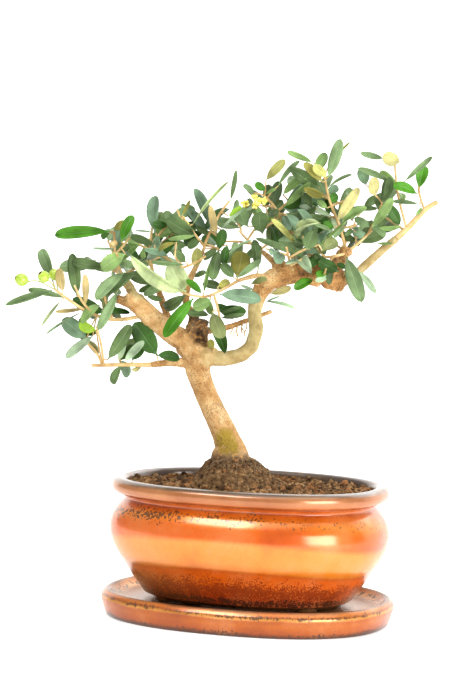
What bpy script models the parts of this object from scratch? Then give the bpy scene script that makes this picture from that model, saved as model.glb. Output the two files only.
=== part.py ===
"""An olive bonsai in an oval glazed pot that stands in its saucer.

The pot's long axis is X and the front is -Y. The origin is on the table, under the middle of the saucer.
The tree is laid out in its own front plane, turned from the pot's long axis: millimetres across, up and back.
"""

import math
import random

import bmesh
import bpy
from mathutils import Matrix, Vector, noise
from mathutils.bvhtree import BVHTree

MM = 0.001
GAP = 0.3  # between solids that touch, in mm

# Pot and saucer, in mm. A wall profile is a list of (outward offset from the rim's oval, height).
RIM_LONG, RIM_SHORT = 76.0, 58.0  # half axes of the rim's oval
OVAL_POWER = 2.3  # 2 is an ellipse, more is squarer
POT_SIDES = 32
POT_FLOOR = 10.6  # underside of the pot's base
POT_WALL = [
    (-24.0, POT_FLOOR), (-20.5, 12.2), (-18.4, 13.0), (-14.2, 18.8), (-10.6, 24.0), (-7.8, 28.6),
    (-4.0, 34.0), (-0.6, 40.5), (0.8, 48.0), (-0.2, 54.5), (-3.4, 60.0), (-6.4, 63.6), (-5.2, 66.4),
    (-1.2, 68.2), (0.0, 70.5), (0.0, 72.6), (-1.8, 74.9), (-4.4, 75.6), (-6.8, 74.8), (-8.2, 72.3),
    (-11.5, 62.0), (-6.5, 48.0), (-11.0, 34.0), (-24.0, 21.0),
]
FOOT_RADIUS, FOOT_SPREAD_LONG, FOOT_SPREAD_SHORT = 7.5, 41.0, 26.0
SAUCER_SIDES = 32
SAUCER_FLOOR = 9.3
SAUCER_WALL = [
    (0.5, 0.0), (2.6, 3.0), (4.5, 9.4), (4.1, 11.4), (2.4, 13.6), (0.8, 14.1), (-0.6, 13.0),
    (-3.4, 10.3), (-7.0, SAUCER_FLOOR),
]

# Soil: a bed inside the pot that rises to a mound under the trunk's foot.
SOIL_EDGE_HEIGHT = 72.0
SOIL_TOP_HEIGHT = 86.0
SOIL_PAD_RADIUS = 12.5  # flat top, where the trunk's foot stands
MOUND_RADIUS, MOUND_LEAN = 25.0, 3.0  # the mound reaches further to the tree's right
MOUND_RINGS, BED_RINGS = 4, 3
LUMP_HEIGHT, LUMP_SIZE = 2.2, 8.0

TREE_TURN = math.radians(18)
TRUNK_FOOT = (-11.0, SOIL_TOP_HEIGHT + GAP, 0.0)

# Limbs: the points that each runs through (across, up, back), the radius at each, and what carries it.
LIMBS = {
    "trunk": dict(
        route=[TRUNK_FOOT, (-11, 90, 0), (-13, 96, 0), (-16, 104, 0), (-22, 116, 0), (-28, 129, 0),
               (-31, 138, 0), (-32, 146, 0), (-32, 154, 0), (-31, 163, 0)],
        radii=[11.5, 9.2, 7.6, 6.7, 6.2, 6.1, 7.2, 7.8, 6.2, 5.4], sides=12, on=None),
    "left_bough": dict(
        route=[(-33, 147, 0), (-44, 154, -1), (-56, 163, -2), (-65, 171, -2), (-70, 176, -2)],
        radii=[6.2, 5.9, 5.4, 5.2, 4.3], sides=10, on="trunk"),
    "left_stub": dict(route=[(-66, 170, -2), (-76, 173, -3)], radii=[2.6, 2.4], sides=7, on="left_bough"),
    "left_riser": dict(
        route=[(-64, 172, -2), (-68, 179, -2), (-73, 186, -2)],
        radii=[2.2, 2.0, 1.6], sides=6, on="left_bough"),
    "left_low_bough": dict(
        route=[(-34, 139, 0), (-45, 140, -2), (-56, 138.5, -4)],
        radii=[2.1, 1.9, 1.7], sides=6, on="trunk"),
    "right_low_bough": dict(
        route=[(-30, 144, 0), (-19, 142, -2), (-8, 144, -3), (-2.4, 148.6, -3)],
        radii=[4.8, 4.3, 4.0, 4.0], sides=10, on="trunk"),
    "right_rising_bough": dict(
        route=[(-2, 149, -3), (0.4, 158, -3), (-0.6, 168, -2), (0.6, 175, -1)],
        radii=[4.0, 3.9, 3.8, 4.2], sides=10, on="right_low_bough"),
    "right_head": dict(
        route=[(0.8, 175.4, -1), (4, 182, 0), (11, 187, 0), (18, 189.5, 0), (27, 192, 0), (36, 190, 0),
               (43, 187, 0), (48, 186, 0)],
        radii=[4.2, 5.0, 5.6, 5.4, 4.9, 5.2, 5.9, 5.3], sides=10, on="right_rising_bough"),
    "right_fork": dict(
        route=[(43, 188, -1), (46, 197, -1), (48, 203, -1)],
        radii=[2.5, 2.3, 2.6], sides=7, on="right_head"),
    "right_arm": dict(
        route=[(44, 184, 3), (54, 191, 4), (64, 201, 3), (75, 211, 2)],
        radii=[1.7, 1.6, 1.5, 1.4], sides=6, on="right_head"),
    "dry_twig": dict(
        route=[(-30, 156, 3), (-17, 158, 7), (-6, 162, 9), (9, 168, 8)],
        radii=[1.6, 1.4, 1.2, 0.9], sides=5, on="trunk"),
    "back_left_bough": dict(
        route=[(-45, 156, 2), (-51, 171, 8), (-57, 187, 13)],
        radii=[2.2, 1.9, 1.5], sides=6, on="left_bough"),
    "centre_bough": dict(
        route=[(-31, 160, 1), (-38, 172, 3), (-36, 185, 3), (-30, 198, 1)],
        radii=[2.4, 2.1, 1.8, 1.4], sides=6, on="trunk"),
    "right_back_bough": dict(
        route=[(21, 191, 2), (20, 205, 7), (13, 219, 9)], radii=[2.2, 1.9, 1.4], sides=6, on="right_head"),
    "centre_arm": dict(
        route=[(8, 187, -3), (0, 188, -9), (-10, 185, -11)],
        radii=[1.6, 1.4, 1.2], sides=6, on="right_head"),
    "back_bough": dict(
        route=[(14, 188, 2), (9, 195, 14), (3, 200, 25)], radii=[2.2, 1.8, 1.4], sides=6, on="right_head"),
    "back_right_bough": dict(
        route=[(40, 188, 2), (43, 196, 14), (46, 202, 24)],
        radii=[2.0, 1.7, 1.4], sides=6, on="right_head"),
    "back_low_bough": dict(
        route=[(-57, 164, 1), (-64, 170, 13), (-71, 177, 22)],
        radii=[2.0, 1.7, 1.3], sides=6, on="left_bough"),
}

# Masses of foliage: a stem that grows on from its limb, shoots (share of the stem's length, tip, pairs of
# leaves), and the single leaves that make the outline (share of the stem's length, tip, width).
MASSES = {
    "leaves_left_tip": dict(
        limb="left_bough", seed=3, stem=[(-61, 164, -2), (-78, 161.5, -3), (-94, 167, -5), (-109, 177, -7)],
        shoots=[(0.32, (-84, 182, -10), 2), (0.42, (-84, 170, 12), 2), (0.55, (-98, 180, -16), 1)],
        leaves=[(1.0, (-134, 167, -12), 5.5), (0.93, (-125, 173, 2), 5.5), (0.76, (-101, 196, -5), 7.5),
                (0.68, (-92, 187, 2), 5.0), (0.94, (-107, 190, -11), 5.0), (0.97, (-118, 199, 4), 7.0),
                (0.88, (-117, 156, -3), 3.0), (0.62, (-109, 162, 6), 4.0), (0.6, (-113, 151, 4), 3.0),
                (0.45, (-96, 154, -10), 9.0)],
        fruit=[(1.0, (-127, 182, -10), 3.0), (0.98, (-115, 184, -12), 2.7), (0.96, (-110, 185, -3), 2.6)]),
    "leaves_left_low": dict(
        limb="left_low_bough", seed=5, stem=[(-56, 138.5, -4), (-70, 138, -5), (-88, 137, -8)],
        shoots=[(0.8, (-86, 158, -9), 2), (0.82, (-92, 149, -3), 1), (0.5, (-74, 142, 8), 1)],
        leaves=[(0.04, (-68, 161, 2), 11.0), (0.02, (-43, 142, -10), 7.5), (0.32, (-60, 151, -12), 7.0),
                (0.42, (-73, 150, 2), 6.0), (0.56, (-64, 159, -9), 8.0), (0.4, (-77, 125, -4), 6.0)]),
    "leaves_left_top": dict(
        limb="left_riser", seed=8, stem=[(-73, 186, -2), (-77, 195, -3), (-78, 209, -4)],
        shoots=[(0.2, (-89, 192, 3), 2),
                (0.5, (-69, 207, -8), 1), (0.3, (-76, 198, -16), 1), (0.4, (-82, 204, 10), 2)],
        leaves=[(0.98, (-109, 207, -8), 9.0), (0.9, (-68, 220, -3), 8.0), (0.55, (-88, 186, -12), 11.0),
                (0.35, (-103, 193, -3), 7.5), (0.7, (-92, 199, 6), 4.0)]),
    "leaves_back_left": dict(
        limb="back_left_bough", seed=13, stem=[(-57, 187, 13), (-59, 200, 14), (-58, 212, 13)],
        shoots=[(0.4, (-50, 206, 22), 2),
                (0.5, (-68, 204, 20), 2), (0.25, (-53, 196, 4), 1), (0.6, (-50, 213, 8), 1)],
        leaves=[(1.0, (-57, 231, 11), 8.5), (0.85, (-71, 211, 6), 7.0), (0.3, (-65, 190, 3), 8.0)]),
    "leaves_centre_top": dict(
        limb="centre_bough", seed=21, stem=[(-30, 198, 1), (-28, 206, 1), (-22, 219, 2), (-16, 228, 2)],
        shoots=[(0.14, (-40, 217, -3), 2), (0.3, (-30, 212, 14), 2), (0.2, (-36, 206, -12), 2)],
        leaves=[(0.5, (-35, 234, 5), 8.0), (0.6, (-26, 225, -8), 7.5), (1.0, (-12, 245, 1), 3.5),
                (0.32, (-24, 183, -9), 8.5), (0.25, (-17, 202, -9), 8.5), (0.85, (-9, 217, -6), 5.0),
                (0.95, (-4, 226, 9), 6.0)]),
    "leaves_centre_front": dict(
        limb="centre_arm", seed=34, stem=[(-10, 185, -11), (-27, 176, -13), (-41, 178, -14)],
        shoots=[(0.15, (-9, 196, -19), 2), (0.45, (-19, 163, -17), 2), (0.62, (-36, 166, -20), 1)],
        leaves=[(1.0, (-69, 197, -18), 8.0), (0.97, (-51, 195, -10), 10.5), (0.85, (-50, 154, -19), 9.5),
                (0.3, (4, 176, -16), 9.0), (0.5, (-24, 196, -15), 3.5), (0.55, (-17, 154, -21), 9.0),
                (0.02, (5, 198, -14), 6.0)]),
    "leaves_right_back": dict(
        limb="right_back_bough", seed=55, stem=[(13, 219, 9), (8, 226, 8), (3, 231, 7)],
        shoots=[(0.1, (3, 213, 2), 2),
                (0.3, (18, 230, 13), 2), (0.5, (4, 225, 20), 1), (0.2, (15, 221, -4), 1)],
        leaves=[(0.5, (-12, 219, 5), 10.0), (0.95, (9, 250, 4), 6.0), (1.0, (-9, 237, 3), 7.0),
                (0.2, (26, 243, 4), 7.5), (0.1, (1, 207, 6), 9.0)],
        fruit=[(1.0, (-5, 228, 1), 1.9), (1.0, (-2, 230, 3), 1.7), (0.97, (-9, 226, 3), 1.5)]),
    "leaves_right_top": dict(
        limb="right_fork", seed=71, stem=[(48, 203, -1), (44, 216, -2), (38, 230, -2), (35, 243, -1)],
        shoots=[(0.45, (36, 222, 10), 2),
                (0.6, (50, 230, 8), 1), (0.3, (52, 217, -12), 1), (0.7, (30, 236, 10), 1)],
        leaves=[(1.0, (43, 264, -3), 8.5), (0.96, (36, 257, 5), 8.0), (0.95, (25, 250, -9), 8.0),
                (0.85, (15, 248, -3), 8.0), (0.93, (14, 256, 6), 6.0), (0.7, (51, 245, 2), 4.0),
                (0.5, (56, 238, -7), 8.5), (0.66, (22, 236, -10), 7.0), (0.45, (27, 204, -13), 4.0),
                (0.4, (60, 227, 2), 8.0)]),
    "leaves_right_low": dict(
        limb="right_fork", seed=89, stem=[(47, 201, -3), (38, 199, -7), (27, 200, -8)],
        shoots=[(0.3, (36, 190, -16), 2),
                (0.85, (24, 210, -16), 2), (0.55, (30, 208, -4), 1), (0.9, (18, 194, -15), 1)],
        leaves=[(1.0, (36, 223, -13), 7.0), (0.98, (5, 218, -10), 7.0), (0.95, (5, 207, -13), 7.0),
                (0.9, (22, 183, -13), 8.5), (0.15, (58, 176, -8), 9.5), (0.05, (65, 181, 2), 6.0),
                (0.75, (19, 223, -9), 9.0)]),
    "leaves_right_mid": dict(
        limb="right_fork", seed=101, stem=[(49, 202, 1), (56, 208, 3), (62, 214, 3)],
        shoots=[(0.5, (58, 220, -4), 2), (0.8, (67, 229, 5), 2), (0.35, (55, 212, 14), 2)],
        leaves=[(1.0, (73, 234, -3), 8.0), (0.95, (70, 211, -2), 7.0), (0.9, (60, 245, -3), 8.0),
                (0.85, (73, 245, 5), 7.5)]),
    "leaves_right_tip": dict(
        limb="right_arm", seed=113, stem=[(75, 211, 2), (82, 218, 2), (90, 227, 2), (97, 231, 2)],
        shoots=[(0.25, (73, 252, 2), 2), (0.72, (86, 246, 2), 0), (0.2, (70, 221, 10), 1)],
        leaves=[(0.7, (88, 250, 6), 6.5), (0.3, (87, 235, -4), 7.5), (0.28, (87, 229, 8), 3.0)],
        shoot_leaves=[(0, 1.0, (65, 257, -3), 7.5), (0, 0.98, (53, 257, 5), 5.0), (0, 0.6, (57, 248, 2), 5.0),
                      (1, 0.98, (93, 256, 4), 7.0), (1, 0.95, (76, 241, 6), 6.5)]),
    "leaves_back_centre": dict(
        limb="back_bough", seed=127, stem=[(3, 200, 25), (-4, 205, 34), (-10, 211, 44)],
        shoots=[(0.1, (16, 210, 33), 2),
                (0.4, (-18, 205, 30), 1), (0.6, (4, 219, 42), 2), (0.9, (-12, 216, 56), 1)],
        leaves=[]),
    "leaves_back_right": dict(
        limb="back_right_bough", seed=131, stem=[(46, 202, 24), (50, 208, 33), (52, 215, 42)],
        shoots=[(0.1, (34, 213, 28), 2),
                (0.4, (66, 213, 32), 1), (0.6, (42, 224, 40), 2), (0.9, (56, 216, 54), 1)],
        leaves=[]),
    "leaves_back_low": dict(
        limb="back_low_bough", seed=149, stem=[(-71, 177, 22), (-76, 183, 30), (-79, 190, 39)],
        shoots=[(0.2, (-86, 178, 24), 1),
                (0.5, (-64, 190, 36), 2), (0.7, (-92, 192, 38), 2), (0.9, (-78, 188, 51), 1)],
        leaves=[]),
    "leaves_front_centre": dict(
        limb="centre_bough", seed=163, stem=[(-37, 184, 1), (-40, 190, -12), (-42, 196, -24)],
        shoots=[(0.5, (-55, 200, -22), 2), (0.6, (-28, 198, -28), 2), (0.9, (-44, 198, -37), 2)],
        leaves=[]),
    "leaves_front_right": dict(
        limb="right_head", seed=173, stem=[(20, 190, -2), (17, 197, -15), (15, 204, -27)],
        shoots=[(0.6, (32, 206, -26), 2),
                (0.7, (4, 203, -28), 2), (0.95, (24, 216, -38), 1), (0.9, (6, 212, -38), 1)],
        leaves=[]),
}
STEM_RADIUS, STEM_TIP_RADIUS = 1.15, 0.8
SHOOT_RADIUS, SHOOT_TIP_RADIUS = 0.85, 0.7
STALK_RADIUS = 0.6
LEAF_LENGTH, LEAF_LENGTH_SPREAD = 17.0, 4.0
LEAF_SLIM = 0.46  # width to length of a leaf that the rule sizes
LEAF_LEAN = math.radians(50)  # between a leaf and its shoot
LEAF_ROOT_RADIUS = 0.32
LEAF_THICKNESS = 1.0  # at the keel
LEAF_TRIES = 9
LEAF_CLEARANCE = 0.4
TWIG_CLEARANCE = 0.5


def tree_point(across, up, back=0.0):
    """A point of the tree in the part's frame, in mm."""
    return Matrix.Rotation(TREE_TURN, 3, "Z") @ Vector((across, back, up))


def material(name, colour, roughness):
    made = bpy.data.materials.new(name)
    made.use_nodes = True
    shader = made.node_tree.nodes["Principled BSDF"]
    shader.inputs["Base Color"].default_value = (*colour, 1)
    shader.inputs["Roughness"].default_value = roughness
    return made


def add_object(name, bm, finish):
    """Links a bmesh that is in mm as an object in metres."""
    bmesh.ops.scale(bm, vec=(MM, MM, MM), verts=bm.verts)
    bmesh.ops.recalc_face_normals(bm, faces=bm.faces)
    mesh = bpy.data.meshes.new(name)
    bm.to_mesh(mesh)
    bm.free()
    mesh.materials.append(finish)
    made = bpy.data.objects.new(name, mesh)
    bpy.context.scene.collection.objects.link(made)
    return made


def combine(target, helpers, operation, solver="EXACT"):
    """Applies one Boolean of target with all the helpers, and removes them."""
    group = bpy.data.collections.new(target.name + "_helpers")
    bpy.context.scene.collection.children.link(group)
    for helper in helpers:
        bpy.context.scene.collection.objects.unlink(helper)
        group.objects.link(helper)
    boolean = target.modifiers.new("combine", "BOOLEAN")
    boolean.operation = operation
    boolean.solver = solver
    boolean.operand_type = "COLLECTION"
    boolean.collection = group
    bpy.context.view_layer.update()
    graph = bpy.context.evaluated_depsgraph_get()
    joined = bpy.data.meshes.new_from_object(target.evaluated_get(graph))
    target.modifiers.clear()
    target.data = joined
    for helper in helpers:
        bpy.data.objects.remove(helper)
    bpy.data.collections.remove(group)


def oval_loop(bm, offset, height, sides):
    """A loop of vertices round the pot's oval, moved outwards by offset."""
    loop = []
    for i in range(sides):
        turn = 2 * math.pi * i / sides
        c, s = math.cos(turn), math.sin(turn)
        x = (RIM_LONG + offset) * math.copysign(abs(c) ** (2 / OVAL_POWER), c)
        y = (RIM_SHORT + offset) * math.copysign(abs(s) ** (2 / OVAL_POWER), s)
        loop.append(bm.verts.new((x, y, height)))
    return loop


def loft(bm, loops):
    """Quads between loops of equal length, with a cap on each end."""
    for low, high in zip(loops, loops[1:]):
        for i, vertex in enumerate(low):
            after = (i + 1) % len(low)
            bm.faces.new((vertex, low[after], high[after], high[i]))
    bm.faces.new(loops[0])
    bm.faces.new(loops[-1])


def make_walled(name, profile, sides, finish):
    bm = bmesh.new()
    loft(bm, [oval_loop(bm, offset, height, sides) for offset, height in profile])
    return add_object(name, bm, finish)


def make_pot(glaze):
    pot = make_walled("pot", POT_WALL, POT_SIDES, glaze)
    feet = []
    for along in (-1, 1):
        for across in (-1, 1):
            bm = bmesh.new()
            low, high = SAUCER_FLOOR + GAP, POT_FLOOR + 2
            place = Matrix.Translation(
                (along * FOOT_SPREAD_LONG, across * FOOT_SPREAD_SHORT, (low + high) / 2))
            bmesh.ops.create_cone(bm, cap_ends=True, segments=12, radius1=FOOT_RADIUS,
                                  radius2=FOOT_RADIUS + 1, depth=high - low, matrix=place)
            feet.append(add_object("foot", bm, glaze))
    combine(pot, feet, "UNION")


def inner_offset(height):
    """The offset of the pot's inner wall at a height inside it."""
    inner = POT_WALL[-6:]
    for (high_offset, high), (low_offset, low) in zip(inner, inner[1:]):
        if low <= height <= high:
            return low_offset + (high_offset - low_offset) * (height - low) / (high - low)
    return inner[-1][0]


def make_soil(finish):
    """Fills the pot from its floor, and rises from the lumpy bed to the mound under the trunk."""
    bm = bmesh.new()
    heights = [POT_WALL[-1][1] + GAP] + [h for _, h in POT_WALL[-5:-1]] + [SOIL_EDGE_HEIGHT]
    heights = sorted({h for h in heights if h <= SOIL_EDGE_HEIGHT})
    loops = [oval_loop(bm, inner_offset(h) - 2 * GAP, h, POT_SIDES) for h in heights]
    foot = tree_point(*TRUNK_FOOT)
    foot.z = 0
    right = tree_point(1, 0)
    edge = [Vector((v.co.x, v.co.y, 0)) for v in loops[-1]]
    steps = [(ring / BED_RINGS, 0.0) for ring in range(1, BED_RINGS + 1)]
    steps += [(1.0, ring / MOUND_RINGS) for ring in range(1, MOUND_RINGS + 1)]
    for inward, rise in steps:
        loop = []
        for outer in edge:
            heading = (outer - foot).normalized()
            reach = MOUND_RADIUS + MOUND_LEAN * heading.dot(right)
            flat = foot + heading * (reach + (SOIL_PAD_RADIUS - reach) * rise)
            flat = outer.lerp(flat, inward)
            lump = LUMP_HEIGHT * (1 - rise) * noise.noise(flat / LUMP_SIZE)
            height = SOIL_EDGE_HEIGHT + (SOIL_TOP_HEIGHT - SOIL_EDGE_HEIGHT) * rise * rise * (3 - 2 * rise)
            loop.append(bm.verts.new((flat.x, flat.y, height + lump)))
        loops.append(loop)
    loft(bm, loops)
    add_object("soil", bm, finish)


def smooth_route(points, steps=2):
    """Points and shares along a Catmull-Rom curve through the given ones."""
    points = [Vector(p) for p in points]
    padded = [2 * points[0] - points[1]] + points + [2 * points[-1] - points[-2]]
    route = []
    for i in range(1, len(padded) - 2):
        before, start, end, after = padded[i - 1:i + 3]
        for step in range(steps):
            t = step / steps
            route.append(0.5 * (2 * start + (end - before) * t
                                + (2 * before - 5 * start + 4 * end - after) * t ** 2
                                + (3 * start - before - 3 * end + after) * t ** 3))
    return route + [points[-1]]


def spread(values, count):
    """Evenly resamples a list of numbers."""
    if len(values) == 1:
        return values * count
    spots = [i * (len(values) - 1) / (count - 1) for i in range(count)]
    values = values + values[-1:]
    return [values[int(s)] + (values[int(s) + 1] - values[int(s)]) * (s - int(s)) for s in spots]


def tube(bm, route, radii, sides, level_foot=False):
    """A closed tube of rings square to the route, the first one level if asked."""
    loops, side = [], None
    for i, (point, radius) in enumerate(zip(route, radii)):
        along = (route[min(i + 1, len(route) - 1)] - route[max(i - 1, 0)]).normalized()
        if level_foot and i == 0:
            along = Vector((0, 0, 1))
        if side is None:
            side = along.orthogonal().normalized()
        side = (side - along * side.dot(along)).normalized()
        turned = along.cross(side)
        loops.append([bm.verts.new(point + radius * (math.cos(a) * side + math.sin(a) * turned))
                      for a in (2 * math.pi * k / sides for k in range(sides))])
    loft(bm, loops)


def limb_tube(name, swell=0.0):
    """The route, radii, sides of a limb in mm, made longer and thicker by swell."""
    limb = LIMBS[name]
    route = smooth_route([tree_point(*p) for p in limb["route"]])
    radii = [r + swell for r in spread(limb["radii"], len(route))]
    if swell:
        route[0] = route[0] + (route[0] - route[1]).normalized() * swell
        route[-1] = route[-1] + (route[-1] - route[-2]).normalized() * swell
    return route, radii, limb["sides"]


def cut_to(piece, limb, finish):
    """Cuts a piece back to the surface of the limb that carries it, one gap clear."""
    bm = bmesh.new()
    tube(bm, *limb_tube(limb, GAP))
    combine(piece, [add_object("cutter", bm, finish)], "DIFFERENCE")


def make_limb(name, bark):
    bm = bmesh.new()
    route, radii, sides = limb_tube(name)
    tube(bm, route, radii, sides, level_foot=LIMBS[name]["on"] is None)
    made = add_object(name, bm, bark)
    if LIMBS[name]["on"]:
        cut_to(made, LIMBS[name]["on"], bark)


class Space:
    """What already stands in the crown, as small trees of triangles with a ball round each."""

    def __init__(self):
        self.taken = []

    def add(self, points, faces, owner):
        middle = sum(points, Vector()) / len(points)
        reach = max((p - middle).length for p in points)
        self.taken.append((BVHTree.FromPolygons(points, faces), middle, reach, owner))

    def free(self, points, faces, ignored):
        middle = sum(points, Vector()) / len(points)
        reach = max((p - middle).length for p in points)
        tested = BVHTree.FromPolygons(points, faces)
        return not any(
            owner not in ignored and (middle - centre).length < reach + size and tested.overlap(shape)
            for shape, centre, size, owner in self.taken)


def prism(route, radii, sides=3):
    """Points and faces of a tube, for testing."""
    bm = bmesh.new()
    tube(bm, route, radii, sides)
    bm.verts.index_update()
    points = [v.co.copy() for v in bm.verts]
    faces = [[v.index for v in f.verts] for f in bm.faces]
    bm.free()
    return points, faces


def blade_shape(leaf, grow=0.0, start=0.0):
    """Points and faces of a leaf with three-cornered sections, a kite or a fuller blade, thicker by grow."""
    root, tip, normal, width, full = leaf
    width, thick = width + 2 * grow, LEAF_THICKNESS + 2 * grow
    along = tip - root
    side = along.cross(normal).normalized()
    up = side.cross(along).normalized()
    sections = [(start, width / 4 if start else LEAF_ROOT_RADIUS, thick if start else LEAF_ROOT_RADIUS)]
    wider = [(0.36, 0.47 * width, thick), (0.72, 0.4 * width, thick)]
    sections += wider if full else [(0.46, width / 2, thick)]
    points = []
    for share, half, keel in sections:
        centre = root + along * share
        below = centre - up * keel / 4
        points += [below - side * half, below + side * half, centre + up * keel / 2]
    points.append(tip.copy())
    faces, last = [(2, 1, 0)], 3 * len(sections) - 3
    for ring in range(0, last, 3):
        for k in range(3):
            after = (k + 1) % 3
            faces += [(ring + k, ring + after, ring + 3 + after), (ring + k, ring + 3 + after, ring + 3 + k)]
    faces += [(last, last + 1, last + 3), (last + 1, last + 2, last + 3), (last + 2, last, last + 3)]
    return points, faces


def leaf_fits(space, mass, leaf):
    """True if the leaf, with its clearance, touches no limb, no other mass and no leaf of its own mass."""
    shape = blade_shape(leaf, grow=LEAF_CLEARANCE)
    outer = blade_shape(leaf, start=0.3)
    return space.free(*shape, ignored=(mass, mass + ":blades")) and space.free(*outer, ignored=(mass,))


def facing(along, rng):
    """The way a leaf's upper side looks: forwards and up, and never along the leaf."""
    wanted = tree_point(rng.uniform(-0.9, 0.9), rng.uniform(0.0, 1.0), rng.uniform(-1.3, -0.5))
    flat = wanted - along * wanted.dot(along)
    return flat.normalized() if flat.length > 0.1 else along.orthogonal().normalized()


def grow_pairs(rng, route, pairs, grown, space, mass):
    """Opposite leaves along a shoot, each pair turned a quarter from the last, with a pair at its tip."""
    start, end = route[0], route[-1]
    along = (end - start).normalized()
    side = along.orthogonal().normalized()
    turn = rng.uniform(0, math.pi)
    for node in range(pairs + 1):
        share = 1.0 if node == pairs else 0.35 + 0.5 * node / max(pairs, 1)
        lean = LEAF_LEAN * (0.62 if node == pairs else 1.0)
        for way in (0, math.pi):
            for attempt in range(LEAF_TRIES):
                spin = turn + way + rng.uniform(-0.3, 0.3) * (1 + attempt)
                tilt = lean + rng.uniform(-0.15, 0.25) * (1 + attempt / 3)
                length = LEAF_LENGTH + rng.uniform(-1, 1) * LEAF_LENGTH_SPREAD - attempt * 0.5
                outward = Matrix.Rotation(spin, 3, along) @ side
                heading = math.cos(tilt) * along + math.sin(tilt) * outward
                root = along_route(route, share) - heading * (0.6 if node == pairs else 0.3)
                width = length * LEAF_SLIM * rng.uniform(0.85, 1.2)
                leaf = (root, root + heading * length, facing(heading, rng), width, False)
                if leaf_fits(space, mass, leaf):
                    grown["leaves"].append(leaf)
                    space.add(*blade_shape(leaf, start=0.3), owner=mass + ":blades")
                    break
        turn += math.pi / 2


def along_route(route, share):
    """The point at a share of a route's length."""
    lengths = [(b - a).length for a, b in zip(route, route[1:])]
    left = share * sum(lengths)
    for a, b, length in zip(route, route[1:], lengths):
        if left <= length:
            return a.lerp(b, left / length)
        left -= length
    return route[-1].copy()


def grow_twigs(name, space):
    """The stem and shoots of one mass, by its seeded rule, in mm."""
    mass = MASSES[name]
    rng = random.Random(mass["seed"])
    stem = smooth_route([tree_point(*p) for p in mass["stem"]])
    shape = prism(stem, [STEM_RADIUS + TWIG_CLEARANCE] * len(stem))
    if not space.free(*shape, ignored=(mass["limb"],)):
        print(name, "has its stem through something")
    space.add(*shape, owner=name)
    grown = {"twigs": [(stem, spread([STEM_RADIUS, STEM_TIP_RADIUS], len(stem)))], "shoots": [],
             "leaves": [], "fruit": [], "rng": rng}
    for share, tip, pairs in mass["shoots"]:
        root, tip = along_route(stem, share), tree_point(*tip)
        bend = Vector([rng.uniform(-1, 1) for _ in range(3)]) * 0.06 * (tip - root).length
        middle = root.lerp(tip, 0.5) + bend
        route = [root, middle, tip]
        shape = prism(route, [SHOOT_RADIUS + TWIG_CLEARANCE] * 3)
        clear = space.free(*shape, ignored=(name,))
        grown["shoots"].append((route, pairs, clear))
        if clear:
            space.add(*shape, owner=name)
            grown["twigs"].append((route, [SHOOT_RADIUS, SHOOT_RADIUS, SHOOT_TIP_RADIUS]))
        else:
            print(name, "skips a shoot")
    return grown


def grow_leaves(name, grown, space):
    """Adds a mass's fruit, its single leaves and its pairs of leaves, each where it has room."""
    mass, rng = MASSES[name], grown["rng"]
    stem = grown["twigs"][0][0]
    for share, centre, radius in mass.get("fruit", []):
        root, centre = along_route(stem, share), tree_point(*centre)
        ball = prism([centre - Vector((0, 0, radius + 1)), centre, centre + Vector((0, 0, radius + 1))],
                     [radius, radius + 1.5, radius], 6)
        stalk = prism([root, centre], [STALK_RADIUS + TWIG_CLEARANCE] * 2)
        if space.free(*ball, ignored=(name,)) and space.free(*stalk, ignored=(name,)):
            grown["fruit"].append((root, centre, radius))
            space.add(*ball, owner=name)
            space.add(*stalk, owner=name)
        else:
            print(name, "skips a fruit")
    singles = [(stem, *leaf) for leaf in mass["leaves"]]
    singles += [(grown["shoots"][shoot][0], *leaf) for shoot, *leaf in mass.get("shoot_leaves", [])]
    for route, share, tip, width in singles:
        root, tip = along_route(route, share), tree_point(*tip)
        heading = (tip - root).normalized()
        for attempt in range(LEAF_TRIES):
            swing = Vector([rng.uniform(-1, 1) for _ in range(3)]) * 1.2 * attempt
            leaf = (root - heading * 0.4, tip + swing, facing(heading, rng), width, True)
            if leaf_fits(space, name, leaf):
                grown["leaves"].append(leaf)
                space.add(*blade_shape(leaf, start=0.3), owner=name + ":blades")
                break
        else:
            print(name, "skips a leaf of", round((tip - root).length), "mm at width", width)
    for route, pairs, clear in grown["shoots"]:
        if pairs and clear:
            grow_pairs(rng, route, pairs, grown, space, name)


def make_mass(name, grown, leaf_finish):
    """Fuses a mass's twigs, leaves and fruit into one closed solid."""
    pieces = []
    for i, (route, radii) in enumerate(grown["twigs"]):
        bm = bmesh.new()
        tube(bm, route, radii, 4 if i == 0 else 3)
        pieces.append(add_object(name if i == 0 else "twig", bm, leaf_finish))
    for root, centre, radius in grown["fruit"]:
        bm = bmesh.new()
        tube(bm, [root, centre], [STALK_RADIUS, STALK_RADIUS], 3)
        pieces.append(add_object("stalk", bm, leaf_finish))
        bm = bmesh.new()
        bmesh.ops.create_icosphere(bm, subdivisions=2 if radius > 2 else 1, radius=radius,
                                   matrix=Matrix.Translation(centre))
        pieces.append(add_object("fruit", bm, leaf_finish))
    for leaf in grown["leaves"]:
        bm = bmesh.new()
        points, faces = blade_shape(leaf)
        corners = [bm.verts.new(p) for p in points]
        for face in faces:
            bm.faces.new([corners[k] for k in face])
        pieces.append(add_object("leaf", bm, leaf_finish))
    cut_to(pieces[0], MASSES[name]["limb"], leaf_finish)
    combine(pieces[0], pieces[1:], "UNION", solver="MANIFOLD")


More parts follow.
